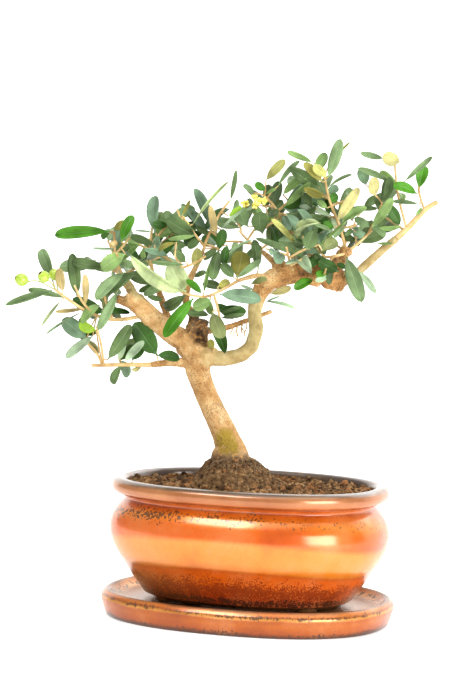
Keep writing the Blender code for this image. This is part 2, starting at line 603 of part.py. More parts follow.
def main():
    for old in list(bpy.data.objects):
        bpy.data.objects.remove(old)
    glaze = material("orange_glaze", (0.72, 0.22, 0.05), 0.15)
    bark = material("bark", (0.55, 0.4, 0.26), 0.8)
    earth = material("soil", (0.13, 0.08, 0.05), 0.95)
    leaf_green = material("leaf_green", (0.16, 0.28, 0.17), 0.5)
    make_walled("saucer", SAUCER_WALL, SAUCER_SIDES, glaze)
    make_pot(glaze)
    make_soil(earth)
    space = Space()
    for name in LIMBS:
        make_limb(name, bark)
        route, radii, sides = limb_tube(name)
        space.add(*prism(route, [r + TWIG_CLEARANCE for r in radii], sides), owner=name)
    grown = {name: grow_twigs(name, space) for name in MASSES}
    for name in MASSES:
        grow_leaves(name, grown[name], space)
        print(name, len(grown[name]["leaves"]), "leaves")
        make_mass(name, grown[name], leaf_green)


main()
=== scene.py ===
import math
import random

import bmesh
import bpy
import numpy as np
from mathutils import Matrix, Vector, noise
from mathutils.bvhtree import BVHTree
from mathutils.kdtree import KDTree


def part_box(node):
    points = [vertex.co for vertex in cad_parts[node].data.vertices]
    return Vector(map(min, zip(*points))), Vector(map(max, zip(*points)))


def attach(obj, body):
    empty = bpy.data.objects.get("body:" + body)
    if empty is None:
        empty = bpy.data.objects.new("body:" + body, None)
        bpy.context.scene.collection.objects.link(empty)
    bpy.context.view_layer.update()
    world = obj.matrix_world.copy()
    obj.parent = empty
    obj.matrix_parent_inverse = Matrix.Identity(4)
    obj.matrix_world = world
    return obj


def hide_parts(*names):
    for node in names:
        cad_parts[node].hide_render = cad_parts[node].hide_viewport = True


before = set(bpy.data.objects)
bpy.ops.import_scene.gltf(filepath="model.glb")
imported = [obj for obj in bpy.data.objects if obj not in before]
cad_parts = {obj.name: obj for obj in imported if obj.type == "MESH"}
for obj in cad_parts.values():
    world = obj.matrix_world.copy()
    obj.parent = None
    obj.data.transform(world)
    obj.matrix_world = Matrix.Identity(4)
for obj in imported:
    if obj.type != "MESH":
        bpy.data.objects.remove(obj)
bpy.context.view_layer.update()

# Everything below is worked out in millimetres and made metres when a piece is finished.
millimetre = 0.001

# The camera stands in front, turned to the right, and is rolled as the photograph is.
view = {"turn": 18.0, "tilt": 3.4, "roll": 1.7, "distance": 1.3, "across": -0.0163,
        "height": 0.1534, "lens": 127.2, "sensor": 36, "nearest": 0.01}


def placeCamera():
    turn, tilt = math.radians(view["turn"]), math.radians(view["tilt"])
    right = Vector((math.cos(turn), math.sin(turn), 0))
    back = Vector((math.sin(turn) * math.cos(tilt), -math.cos(turn) * math.cos(tilt), math.sin(tilt)))
    aim = Vector((0, 0, view["height"])) + right * view["across"]
    data = bpy.data.cameras.new("camera")
    data.lens = view["lens"]
    data.sensor_width = view["sensor"]
    data.clip_start = view["nearest"]
    camera = addObject("camera", data)
    stance = Matrix((right, back.cross(right), back)).transposed().to_4x4()
    roll = Matrix.Rotation(math.radians(view["roll"]), 4, "Z")
    camera.matrix_world = Matrix.Translation(aim + back * view["distance"]) @ stance @ roll
    bpy.context.scene.camera = camera
    print("camera placed")


# Soft white studio: a bright surround, a broad window on each side, and weaker light from above and behind
studio = {
    "surround": 0.4,
    "lights": {
        "windowLeft": {"at": (-0.47, -0.78, 1.46), "size": (0.66, 0.42), "power": 10.5},
        "windowRight": {"at": (1.2, -0.88, 0.42), "size": (0.85, 0.75), "power": 17.0},
        "above": {"at": (0.1, -0.1, 1.3), "size": (1.4, 1.1), "power": 7.0},
        "behind": {"at": (0.3, 0.9, 0.8), "size": (0.9, 0.6), "power": 3.0},
    },
    "aim": (0.0, 0.0, 0.1),
    # the floor glows more away from the pot, where less light falls on it
    "floor": {"half": 7.0, "bend": 0.6, "bendSteps": 12, "colour": (0.94, 0.925, 0.9), "roughness": 0.6,
              "glow": (0.42, 0.95), "glowBetween": (0.5, 2.0)},
}


def lightStudio():
    world = bpy.data.worlds.new("studio")
    world.use_nodes = True
    setSockets(world.node_tree.nodes["Background"], {"Color": (1, 1, 1, 1), "Strength": studio["surround"]})
    bpy.context.scene.world = world
    bpy.context.scene.view_settings.view_transform = "Standard"
    for name, spec in studio["lights"].items():
        data = bpy.data.lights.new(name, "AREA")
        data.shape = "RECTANGLE"
        data.size, data.size_y = spec["size"]
        data.energy = spec["power"]
        lamp = addObject(name, data)
        lamp.location = spec["at"]
        lamp.rotation_euler = (Vector(studio["aim"]) - lamp.location).to_track_quat("-Z", "Y").to_euler()
    print("studio lit with", len(studio["lights"]), "lamps")


def layFloor():
    # a sheet that bends up into a wall behind the tree
    spec = studio["floor"]
    half = spec["half"]
    bm = bmesh.new()
    bmesh.ops.create_grid(bm, x_segments=1, y_segments=1, size=half)
    backEdge = [e for e in bm.edges if all(v.co.y > half / 2 for v in e.verts)]
    bmesh.ops.translate(bm, verts=backEdge[0].verts, vec=(0, -half / 2, 0))
    risen = newVerts(bmesh.ops.extrude_edge_only(bm, edges=backEdge))
    bmesh.ops.translate(bm, verts=risen, vec=(0, 0, half))
    bmesh.ops.bevel(bm, geom=backEdge, offset=spec["bend"], segments=spec["bendSteps"], affect="EDGES",
                    profile=0.5, material=-1)
    mesh = meshFrom(bm, "floor")
    mesh.shade_smooth()
    floor = addObject("floor", mesh)
    material, tree, shader, place = newMaterial("paleFloor", spec["colour"], spec["roughness"])
    away = tree.nodes.new("ShaderNodeVectorMath")
    away.operation = "LENGTH"
    tree.links.new(place, away.inputs[0])
    share = addRange(tree, away.outputs["Value"], *spec["glowBetween"])
    glow = addRamp(tree, share, [(stop, (value,) * 3) for stop, value in enumerate(spec["glow"])])
    tree.links.new(glow, shader.inputs["Emission Color"])
    setSockets(shader, {"Emission Strength": 1.0})
    mesh.materials.append(material)
    print("floor laid")


# Helpers for materials

def setSockets(node, values):
    for name, value in values.items():
        node.inputs[name].default_value = value


def newMaterial(name, colour, roughness):
    # a material, its tree of nodes, its shader, and the place on the piece that its patterns read
    material = bpy.data.materials.new(name)
    material.use_nodes = True
    tree = material.node_tree
    shader = tree.nodes["Principled BSDF"]
    setSockets(shader, {"Base Color": (*colour, 1), "Roughness": roughness})
    place = tree.nodes.new("ShaderNodeTexCoord").outputs["Object"]
    return material, tree, shader, place


def feed(tree, socket, value):
    # value is another node's socket, a colour or a number
    if isinstance(value, bpy.types.NodeSocket):
        tree.links.new(value, socket)
    else:
        socket.default_value = (*value, 1) if isinstance(value, tuple) else value


def addNoise(tree, vector, scale, detail=3.0, roughness=0.5):
    node = tree.nodes.new("ShaderNodeTexNoise")
    for name, value in (("Vector", vector), ("Scale", scale), ("Detail", detail), ("Roughness", roughness)):
        feed(tree, node.inputs[name], value)
    return node.outputs["Fac"]


def addMix(tree, factor, first, second, blend="MIX"):
    node = tree.nodes.new("ShaderNodeMix")
    node.data_type = "RGBA"
    node.blend_type = blend
    for socket, value in ((0, factor), (6, first), (7, second)):
        feed(tree, node.inputs[socket], value)
    return node.outputs[2]


def addMath(tree, operation, *values, clamp=False):
    node = tree.nodes.new("ShaderNodeMath")
    node.operation = operation
    node.use_clamp = clamp
    for socket, value in zip(node.inputs, values):
        feed(tree, socket, value)
    return node.outputs[0]


def addProduct(tree, first, second, clamp=False):
    return addMath(tree, "MULTIPLY", first, second, clamp=clamp)


def addRange(tree, value, low, high):
    # 0 at low, 1 at high, and held between them
    node = tree.nodes.new("ShaderNodeMapRange")
    setSockets(node, {"From Min": low, "From Max": high})
    tree.links.new(value, node.inputs["Value"])
    return node.outputs[0]


def addRamp(tree, factor, stops):
    node = tree.nodes.new("ShaderNodeValToRGB")
    ramp = node.color_ramp
    while len(ramp.elements) < len(stops):
        ramp.elements.new(0.5)
    for element, (place, colour) in zip(ramp.elements, stops):
        element.position = place
        element.color = (*colour, 1)
    tree.links.new(factor, node.inputs["Fac"])
    return node.outputs["Color"]


def addBump(tree, shader, height, strength, distance):
    node = tree.nodes.new("ShaderNodeBump")
    setSockets(node, {"Strength": strength, "Distance": distance})
    tree.links.new(height, node.inputs["Height"])
    tree.links.new(node.outputs["Normal"], shader.inputs["Normal"])


# Spots for glaze, bark and leaves: how fine their own noise is, and how much a broad one gathers them
speckling = {"detail": 2.0, "drift": 0.45,
             "sockets": {"Spot scale": 600.0, "Drift scale": 60.0, "Amount": 0.5, "Softness": 0.04}}


def speckleGroup():
    # spots of one size where a fine noise passes a threshold, gathered in drifts by a broad noise
    group = bpy.data.node_groups.new("speckle", "ShaderNodeTree")
    face = group.interface
    face.new_socket("Vector", in_out="INPUT", socket_type="NodeSocketVector")
    for name, value in speckling["sockets"].items():
        face.new_socket(name, in_out="INPUT", socket_type="NodeSocketFloat").default_value = value
    face.new_socket("Mask", in_out="OUTPUT", socket_type="NodeSocketFloat")
    given, put = group.nodes.new("NodeGroupInput").outputs, group.nodes.new("NodeGroupOutput")
    fine = addNoise(group, given["Vector"], given["Spot scale"], speckling["detail"])
    broad = addNoise(group, given["Vector"], given["Drift scale"])
    both = addMath(group, "MULTIPLY_ADD", broad, speckling["drift"], fine)
    past = addMath(group, "SUBTRACT", both, addMath(group, "SUBTRACT", 1.0, given["Amount"]))
    group.links.new(addMath(group, "DIVIDE", past, given["Softness"], clamp=True), put.inputs["Mask"])
    return group


speckle = speckleGroup()


def addSpeckle(tree, vector, *values):
    node = tree.nodes.new("ShaderNodeGroup")
    node.node_tree = speckle
    feed(tree, node.inputs["Vector"], vector)
    for name, value in zip(speckling["sockets"], values):
        feed(tree, node.inputs[name], value)
    return node.outputs["Mask"]


# Helpers for pieces

def addObject(name, data):
    made = bpy.data.objects.new(name, data)
    bpy.context.scene.collection.objects.link(made)
    return made


def settled(holder):
    # the mesh of a curve or of a mesh with modifiers, as it stands; its holder goes
    mesh = bpy.data.meshes.new_from_object(holder.evaluated_get(bpy.context.evaluated_depsgraph_get()))
    bpy.data.objects.remove(holder)
    return mesh


def newVerts(made):
    return [v for v in made["geom"] if isinstance(v, bmesh.types.BMVert)]


def finishPiece(name, mesh, materials, replaced=()):
    # puts a mesh that is in millimetres on the tree as a piece in metres
    mesh.transform(Matrix.Scale(millimetre, 4))
    for material in materials:
        mesh.materials.append(material)
    piece = addObject(name, mesh)
    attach(piece, "root")
    if replaced:
        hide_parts(*replaced)


def meshFrom(bm, name):
    mesh = bpy.data.meshes.new(name)
    bm.to_mesh(mesh)
    bm.free()
    return mesh


def smoothRoute(points, steps=2):
    # a smooth curve that passes through every point
    points = [Vector(p) for p in points]
    padded = [2 * points[0] - points[1]] + points + [2 * points[-1] - points[-2]]
    route = []
    for i in range(1, len(padded) - 2):
        before, start, end, after = padded[i - 1:i + 3]
        for step in range(steps):
            t = step / steps
            route.append(0.5 * (2 * start + (end - before) * t
                                + (2 * before - 5 * start + 4 * end - after) * t ** 2
                                + (3 * start - before - 3 * end + after) * t ** 3))
    return route + [points[-1]]


def spread(values, count):
    # the same run of numbers at another count
    last = len(values) - 1
    made = []
    for i in range(count):
        spot = i * last / (count - 1)
        low = int(spot)
        made.append(values[low] + (values[min(low + 1, last)] - values[low]) * (spot - low))
    return made


def tubes(name, runs, roundness):
    # one mesh of closed tubes, each run being a route and the radius at each of its points
    curve = bpy.data.curves.new(name, "CURVE")
    curve.dimensions = "3D"
    curve.bevel_depth = 1.0
    curve.bevel_resolution = roundness
    curve.use_fill_caps = True
    for route, radii in runs:
        spline = curve.splines.new("POLY")
        spline.points.add(len(route) - 1)
        for point, place, radius in zip(spline.points, route, radii):
            point.co = (*place, 1)
            point.radius = radius
    mesh = settled(addObject(name, curve))
    bpy.data.curves.remove(curve)
    return mesh


def joinCopies(name, placements):
    # one mesh of many copies, each placement being a template mesh and a matrix
    corners, loops, totals, indices, read, start = [], [], [], [], {}, 0
    for template, matrix in placements:
        if template.name not in read:
            co = np.empty(len(template.vertices) * 3, np.float32)
            template.vertices.foreach_get("co", co)
            loop = np.empty(len(template.loops), np.int32)
            template.loops.foreach_get("vertex_index", loop)
            total = np.array([p.loop_total for p in template.polygons], np.int32)
            index = np.array([p.material_index for p in template.polygons], np.int32)
            read[template.name] = (co.reshape(-1, 3), loop, total, index)
        co, loop, total, index = read[template.name]
        placed = np.array(matrix)
        corners.append(co @ placed[:3, :3].T + placed[:3, 3])
        loops.append(loop + start)
        totals.append(total)
        indices.append(index)
        start += len(co)
    mesh = bpy.data.meshes.new(name)
    corners, loops, totals = np.concatenate(corners), np.concatenate(loops), np.concatenate(totals)
    mesh.vertices.add(len(corners))
    mesh.vertices.foreach_set("co", corners.astype(np.float32).ravel())
    mesh.loops.add(len(loops))
    mesh.loops.foreach_set("vertex_index", loops)
    mesh.polygons.add(len(totals))
    mesh.polygons.foreach_set("loop_start", np.concatenate(([0], np.cumsum(totals)[:-1])).astype(np.int32))
    mesh.polygons.foreach_set("material_index", np.concatenate(indices))
    mesh.update(calc_edges=True)
    mesh.validate()
    mesh.shade_smooth()
    return mesh


# Pot and saucer: a wall turned from its profile, then drawn out to an oval. A profile is (offset, height).
pottery = {
    "halfLength": 76.0, "halfWidth": 58.0, "squareness": 2.3, "sides": 192, "steps": 5,
    "sharp": math.radians(50),
    # a face is inside where it looks at least so much towards the middle, or so much straight up
    "inward": 0.35, "upward": 0.9,
    "pot": [
        (-26.0, 10.8), (-24.2, 10.6), (-22.6, 11.2), (-20.6, 12.2), (-18.9, 12.8), (-18.0, 13.4),
        (-17.2, 14.6), (-14.9, 18.0), (-14.5, 18.6), (-13.9, 19.0), (-10.6, 24.0), (-7.8, 28.6), (-4.0, 34.0),
        (-0.8, 40.5), (0.8, 47.5), (-0.2, 54.5), (-3.4, 60.0), (-6.4, 63.4), (-6.9, 64.8), (-6.0, 66.0),
        (-3.4, 67.0), (-1.2, 68.2), (-0.1, 69.9), (0.1, 71.8), (-0.6, 73.7), (-2.3, 75.1), (-4.4, 75.6),
        (-6.3, 75.2), (-7.5, 74.0), (-8.2, 71.6), (-10.0, 64.0)],
    "foot": {"radius": 6.5, "flare": 1.0, "along": 39.0, "across": 20.5, "top": 15.0, "sides": 32,
             "edge": 1.2, "edgeSteps": 3},
    "saucer": [
        (-1.0, 0.3), (0.3, 0.0), (1.3, 0.5), (2.3, 2.4), (3.6, 6.2), (4.5, 9.2), (4.5, 10.6), (4.1, 11.5),
        (3.5, 12.3), (2.6, 13.3), (1.6, 14.0), (0.6, 14.0), (-0.4, 13.2), (-1.6, 12.0), (-3.4, 10.6),
        (-5.4, 9.7), (-8.0, 9.3)],
}


def squared(c, s, long, short):
    # a place on an oval that is a little squarer than an ellipse, by the cosine and sine of its angle
    power = 2 / pottery["squareness"]
    return long * math.copysign(abs(c) ** power, c), short * math.copysign(abs(s) ** power, s)


def ovalWall(name, profile):
    # the profile turned round the upright axis, with its two ends closed, then made oval. What faces the
    # middle, above the floor, gets the second material.
    route = smoothRoute([(pottery["halfLength"] + offset, 0, height) for offset, height in profile],
                        pottery["steps"])
    bm = bmesh.new()
    verts = [bm.verts.new(p) for p in route]
    edges = [bm.edges.new(pair) for pair in zip(verts, verts[1:])]
    bmesh.ops.spin(bm, geom=verts + edges, cent=(0, 0, 0), axis=(0, 0, 1), angle=2 * math.pi,
                   steps=pottery["sides"], use_merge=True)
    bmesh.ops.remove_doubles(bm, verts=bm.verts, dist=0.001)
    bmesh.ops.holes_fill(bm, edges=[e for e in bm.edges if e.is_boundary], sides=0)
    narrower = pottery["halfWidth"] - pottery["halfLength"]
    for v in bm.verts:
        reach = math.hypot(v.co.x, v.co.y)
        v.co.x, v.co.y = squared(v.co.x / reach, v.co.y / reach, reach, reach + narrower)
    bmesh.ops.recalc_face_normals(bm, faces=bm.faces)
    for f in bm.faces:
        middle = f.calc_center_median()
        outward = f.normal.x * middle.x + f.normal.y * middle.y
        inward = outward < -pottery["inward"] * math.hypot(middle.x, middle.y)
        inside = inward or f.normal.z > pottery["upward"]
        f.material_index = 1 if inside and middle.z > route[-1].z - 0.01 else 0
    mesh = meshFrom(bm, name)
    mesh.shade_smooth()
    mesh.set_sharp_from_angle(angle=pottery["sharp"])
    return mesh


# Glazes. A band is a height on the front and the colour there; towards the two ends it lies lower by droop.
# Spots gather between two heights, most at their middle, and with side most of them lie on the pot's left.
glaze = {
    "potOutside": {
        "wander": 0.8, "droop": 6.0,
        "bands": [
            (6.0, (0.012, 0.006, 0.004)), (12.4, (0.022, 0.01, 0.006)), (13.4, (0.4, 0.06, 0.012)),
            (16.5, (0.56, 0.07, 0.008)), (18.2, (0.64, 0.085, 0.006)), (20.0, (0.78, 0.11, 0.005)),
            (26.0, (0.86, 0.15, 0.006)), (31.5, (0.74, 0.12, 0.005)), (33.2, (0.56, 0.1, 0.006)),
            (34.6, (0.7, 0.2, 0.012)), (38.0, (0.8, 0.25, 0.018)), (48.0, (0.8, 0.25, 0.02)),
            (50.8, (0.76, 0.12, 0.005)), (57.0, (0.78, 0.14, 0.004)), (60.0, (0.82, 0.22, 0.01)),
            (63.0, (0.66, 0.15, 0.007)),
            (64.6, (0.34, 0.055, 0.006)), (65.8, (0.72, 0.16, 0.012)), (67.4, (0.3, 0.07, 0.012)),
            (68.6, (0.5, 0.16, 0.045)), (73.4, (0.44, 0.17, 0.06)), (74.6, (0.14, 0.08, 0.045)),
            (75.6, (0.08, 0.065, 0.055))],
        "spots": [
            {"from": 54.0, "to": 67.0, "size": 760.0, "drift": 130.0, "amount": 0.4, "side": True,
             "colour": (0.075, 0.04, 0.012)},
            {"from": 8.0, "to": 36.0, "size": 1400.0, "drift": 160.0, "amount": 0.42, "side": False,
             "colour": (0.28, 0.036, 0.006)},
            {"from": 10.0, "to": 20.0, "size": 900.0, "drift": 150.0, "amount": 0.42, "side": False,
             "colour": (0.055, 0.02, 0.013)}],
        # the first colour on the next line is a painted brown reflection, low on the pot's left
        "reflectedBrown": (0.3, 0.13, 0.035), "grain": 0.28, "roughness": 0.26, "metal": 0.3},
    "potInside": {
        "wander": 2.0, "droop": 0.0, "bands": [(60.0, (0.03, 0.022, 0.014)), (72.0, (0.06, 0.043, 0.028)),
                                               (75.6, (0.14, 0.11, 0.09))],
        "spots": [], "grain": 0.6, "roughness": 0.2},
    "saucerOutside": {
        "wander": 1.4, "droop": 0.0,
        "bands": [
            (0.0, (0.06, 0.025, 0.01)), (1.6, (0.16, 0.04, 0.006)), (3.2, (0.42, 0.085, 0.005)),
            (7.0, (0.48, 0.115, 0.006)), (9.4, (0.42, 0.09, 0.005)), (10.6, (0.76, 0.34, 0.07)),
            (11.6, (0.4, 0.1, 0.012)), (12.8, (0.64, 0.18, 0.02)), (14.1, (0.16, 0.08, 0.03))],
        "spots": [
            {"from": 9.5, "to": 13.5, "size": 700.0, "drift": 90.0, "amount": 0.3, "side": False,
             "colour": (0.12, 0.055, 0.025)},
            {"from": -4.0, "to": 5.0, "size": 800.0, "drift": 60.0, "amount": 0.36, "side": False,
             "colour": (0.09, 0.035, 0.016)}],
        "grain": 0.6, "roughness": 0.26, "metal": 0.3, "coat": 0.36},
    "saucerInside": {
        "wander": 1.0, "droop": 0.0, "bands": [(9.3, (0.34, 0.15, 0.045)), (10.5, (0.62, 0.28, 0.09)),
                                               (12.6, (0.48, 0.18, 0.05)), (14.1, (0.16, 0.1, 0.06))],
        "spots": [{"from": 8.0, "to": 14.0, "size": 420.0, "drift": 60.0, "amount": 0.34, "side": False,
                   "colour": (0.1, 0.06, 0.025)}],
        "grain": 0.7, "roughness": 0.25, "metal": 0.4, "coat": 0.1},
}


# What all glazes share. A noise is its scale, its detail and its roughness; places are in millimetres.
glazing = {
    "plain": (0.6, 0.15, 0.02), "wander": (48.0, 4.0), "cloud": (30.0, 5.0, 0.6), "grain": (1600.0, 2.0),
    "dimples": (120.0, 4.0), "bump": (0.1, 0.0006),
    "droopBelow": (66.0, 50.0), "droopAbove": (18.0, 30.0),
    "paler": (0.85, 0.42, 0.16), "palerShare": 0.35, "palerFrom": (0.5, 0.75),
    "deeper": (0.72, 0.6, 0.5), "deeperFrom": (0.5, 0.28),
    "grainColour": (0.25, 0.07, 0.02), "grainFrom": (0.5, 0.75),
    "spotShape": (1, 1, 0.6), "spotSoft": 0.03, "spotShare": 0.85,
    "sideFrom": (50.0, 10.0), "sideMore": 0.34, "sideLeast": 0.4,
    # where the painted brown reflection lies across and up, and how much of it is laid on
    "reflectionAcross": (-5.0, -55.0), "reflectionUp": (36.0, 26.0), "brownShare": 0.65,
    "sockets": {"Specular IOR Level": 0.15, "Coat Weight": 0.5, "Coat IOR": 1.85, "Coat Roughness": 0.17},
}


def addSpan(tree, value, ends):
    # the share of the way between two places that are given in millimetres
    return addRange(tree, value, *(end * millimetre for end in ends))


def glazeMaterial(name, spec):
    material, tree, shader, place = newMaterial(name, glazing["plain"], spec["roughness"])
    split = tree.nodes.new("ShaderNodeSeparateXYZ")
    tree.links.new(place, split.inputs[0])
    across, up = split.outputs["X"], split.outputs["Z"]
    wander = addMath(tree, "SUBTRACT", addNoise(tree, place, *glazing["wander"]), 0.5)
    height = addMath(tree, "MULTIPLY_ADD", wander, 2 * spec["wander"] * millimetre, up)
    if spec["droop"]:
        # the share of the way to the pot's end, squared, lowers every band
        along = addMath(tree, "DIVIDE", across, pottery["halfLength"] * millimetre)
        most = addProduct(tree, addSpan(tree, up, glazing["droopBelow"]), spec["droop"] * millimetre)
        lowered = addProduct(tree, addProduct(tree, along, along), most)
        lowered = addProduct(tree, lowered, addSpan(tree, up, glazing["droopAbove"]))
        height = addMath(tree, "ADD", height, lowered)
    low, high = spec["bands"][0][0], spec["bands"][-1][0]
    share = addSpan(tree, height, (low, high))
    colour = addRamp(tree, share, [((z - low) / (high - low), tone) for z, tone in spec["bands"]])
    cloud = addNoise(tree, place, *glazing["cloud"])
    paler = addMix(tree, glazing["palerShare"], colour, glazing["paler"])
    colour = addMix(tree, addRange(tree, cloud, *glazing["palerFrom"]), colour, paler)
    deeper = addMix(tree, 1.0, colour, glazing["deeper"], "MULTIPLY")
    colour = addMix(tree, addRange(tree, cloud, *glazing["deeperFrom"]), colour, deeper)
    grain = addRange(tree, addNoise(tree, place, *glazing["grain"]), *glazing["grainFrom"])
    colour = addMix(tree, addProduct(tree, grain, spec["grain"]), colour, glazing["grainColour"])
    # spots are a little taller than wide
    drawnOut = tree.nodes.new("ShaderNodeVectorMath")
    drawnOut.operation = "MULTIPLY"
    drawnOut.inputs[1].default_value = glazing["spotShape"]
    tree.links.new(place, drawnOut.inputs[0])
    for kind in spec["spots"]:
        middle, half = (kind["from"] + kind["to"]) / 2, (kind["to"] - kind["from"]) / 2
        off = addMath(tree, "ABSOLUTE", addMath(tree, "SUBTRACT", height, middle * millimetre))
        amount = addProduct(tree, addSpan(tree, off, (half, 0.0)), kind["amount"])
        if kind["side"]:
            leftward = addSpan(tree, across, glazing["sideFrom"])
            side = addMath(tree, "MULTIPLY_ADD", leftward, glazing["sideMore"], glazing["sideLeast"])
            amount = addProduct(tree, amount, side)
        mask = addSpeckle(tree, drawnOut.outputs[0], kind["size"], kind["drift"], amount, glazing["spotSoft"])
        colour = addMix(tree, addProduct(tree, mask, glazing["spotShare"]), colour, kind["colour"])
    if "reflectedBrown" in spec:
        # a painted brown reflection is laid over the glaze low on the pot's left
        end = addSpan(tree, across, glazing["reflectionAcross"])
        brown = addProduct(tree, end, addSpan(tree, up, glazing["reflectionUp"]))
        colour = addMix(tree, addProduct(tree, brown, glazing["brownShare"]), colour, spec["reflectedBrown"])
    tree.links.new(colour, shader.inputs["Base Color"])
    setSockets(shader, glazing["sockets"])
    setSockets(shader, {"Metallic": spec.get("metal", 0.0)})
    if "coat" in spec:
        setSockets(shader, {"Coat Weight": spec["coat"]})
    addBump(tree, shader, addNoise(tree, place, *glazing["dimples"]), *glazing["bump"])
    return material


def addFoot(bm, along, across, floor):
    foot = pottery["foot"]
    middle = Matrix.Translation((along, across, (floor + foot["top"]) / 2))
    made = bmesh.ops.create_cone(bm, cap_ends=True, segments=foot["sides"], depth=foot["top"] - floor,
                                 radius1=foot["radius"], radius2=foot["radius"] + foot["flare"],
                                 matrix=middle)
    low = {v for v in made["verts"] if v.co.z < floor + 0.1}
    rim = {e for v in low for e in v.link_edges if low.issuperset(e.verts)}
    bmesh.ops.bevel(bm, geom=list(rim), offset=foot["edge"], segments=foot["edgeSteps"], affect="EDGES",
                    profile=0.5, material=-1)


def makePottery():
    mesh, saucer = ovalWall("potWall", pottery["pot"]), ovalWall("saucerWall", pottery["saucer"])
    bm = bmesh.new()
    bm.from_mesh(mesh)
    foot, floor = pottery["foot"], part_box("pot")[0].z / millimetre
    for along in (-1, 1):
        for across in (-1, 1):
            addFoot(bm, along * foot["along"], across * foot["across"], floor)
    bm.to_mesh(mesh)
    bm.free()
    mesh.shade_smooth()
    mesh.set_sharp_from_angle(angle=pottery["sharp"])
    finish = [glazeMaterial(name, glaze[name]) for name in ("potOutside", "potInside")]
    finishPiece("pot_glazed", mesh, finish, ["pot"])
    finish = [glazeMaterial(name, glaze[name]) for name in ("saucerOutside", "saucerInside")]
    finishPiece("saucer_glazed", saucer, finish, ["saucer"])
    print("pot and saucer made")


# Soil: a crumbly bed that rises to a mound of old roots and peat round the trunk
soil = {
    "edge": 71.6, "inset": 8.3, "lumpHeight": 2.2, "lumpSize": 8.0, "cells": 190, "seed": 41,
    "roughScale": 0.33, "skirtDepth": 6.0, "skirtShare": 0.985,
    "top": 87.8, "pad": 7.5, "mound": 31.5, "moundLean": 4.0, "moundFrom": 2.5, "moundRough": 0.5,
    "crumbs": 5200, "crumbSize": (0.45, 1.5), "clumps": 620, "clumpSize": (1.2, 2.7), "shapes": 4,
    "mostlySmall": 2.2, "lumpy": 0.6,
    "fibres": 620, "fibreSteps": 4, "fibreLength": (3.0, 9.0), "fibreRadius": (0.09, 0.22),
    "nearTrunk": 0.75, "nearSpread": 11, "fibreBend": 0.4, "fibreLift": (-0.1, 1.1),
    "bed": [(0.03, 0.014, 0.006), (0.1, 0.052, 0.02), (0.22, 0.12, 0.048), (0.4, 0.24, 0.11)],
    "crumbColours": {"peat": (0.08, 0.04, 0.016), "loam": (0.21, 0.11, 0.044), "straw": (0.38, 0.22, 0.095),
                     "rust": (0.32, 0.14, 0.05)},
    "crumbTones": (0.45, 1.5),
    "fibreColours": [(0.09, 0.05, 0.025), (0.5, 0.34, 0.18)],
}


def soilHeight(x, y):
    # how high the soil lies at a place, without its crumbs
    foot = treePoint(*trunkFoot)
    out = Vector((x - foot.x, y - foot.y, 0))
    lean = out.normalized().dot(treePoint(1, 0)) if out.length > 0.01 else 0.0
    reach = soil["mound"] + soil["moundLean"] * lean
    rise = min(1.0, max(0.0, 1 - (out.length - soil["pad"]) / (reach - soil["pad"])))
    lump = soil["lumpHeight"] * (1 - rise) * noise.noise(Vector((x, y, 0)) / soil["lumpSize"])
    return soil["edge"] + lump + (soil["top"] - soil["edge"]) * rise * rise * (3 - 2 * rise)


def onMound(x, y):
    return soilHeight(x, y) > soil["edge"] + soil["moundFrom"]


def soilHalves():
    # half the length and half the width of the soil inside the pot's wall
    return pottery["halfLength"] - soil["inset"], pottery["halfWidth"] - soil["inset"]


def insideOval(x, y, inset):
    power = pottery["squareness"]
    along, across = abs(x) / (pottery["halfLength"] - inset), abs(y) / (pottery["halfWidth"] - inset)
    return along ** power + across ** power < 1


# What soil, root fibres and buds share: a noise is its scale, its detail and its roughness
earthy = {"roughness": 0.95, "shine": 0.2, "tone": (380.0, 6.0, 0.7), "relief": (1100.0, 5.0, 0.7),
          "bump": (0.8, 0.0008)}


def soilMaterial(name, stops):
    material, tree, shader, place = newMaterial(name, stops[0][1], earthy["roughness"])
    colour = addRamp(tree, addNoise(tree, place, *earthy["tone"]), stops)
    tree.links.new(colour, shader.inputs["Base Color"])
    setSockets(shader, {"Specular IOR Level": earthy["shine"]})
    addBump(tree, shader, addNoise(tree, place, *earthy["relief"]), *earthy["bump"])
    return material


def ovalBed():
    # a square sheet drawn out to the oval, roughened, with a skirt that goes down inside the pot
    long, short = soilHalves()
    bm = bmesh.new()
    bmesh.ops.create_grid(bm, x_segments=soil["cells"], y_segments=soil["cells"], size=1.0)
    for v in bm.verts:
        ring = max(abs(v.co.x), abs(v.co.y))
        c, s = v.co.xy.normalized() if ring > 1e-6 else (0.0, 0.0)
        x, y = squared(c, s, ring * long, ring * short)
        rough = noise.fractal(Vector((x, y, 0)) * soil["roughScale"], 1.0, 2.0, 4)
        v.co = (x, y, soilHeight(x, y) + rough * (soil["moundRough"] if onMound(x, y) else 1.0))
    skirt = [e for e in bm.edges if e.is_boundary]
    drop = newVerts(bmesh.ops.extrude_edge_only(bm, edges=skirt))
    bmesh.ops.translate(bm, verts=drop, vec=(0, 0, -soil["skirtDepth"]))
    bmesh.ops.scale(bm, verts=drop, vec=(soil["skirtShare"], soil["skirtShare"], 1))
    bmesh.ops.contextual_create(bm, geom=[e for e in bm.edges if e.is_boundary])
    bmesh.ops.recalc_face_normals(bm, faces=bm.faces)
    if max(bm.faces, key=lambda f: f.calc_center_median().z).normal.z < 0:
        bmesh.ops.reverse_faces(bm, faces=bm.faces)
    mesh = meshFrom(bm, "soilBed")
    mesh.shade_smooth()
    return mesh


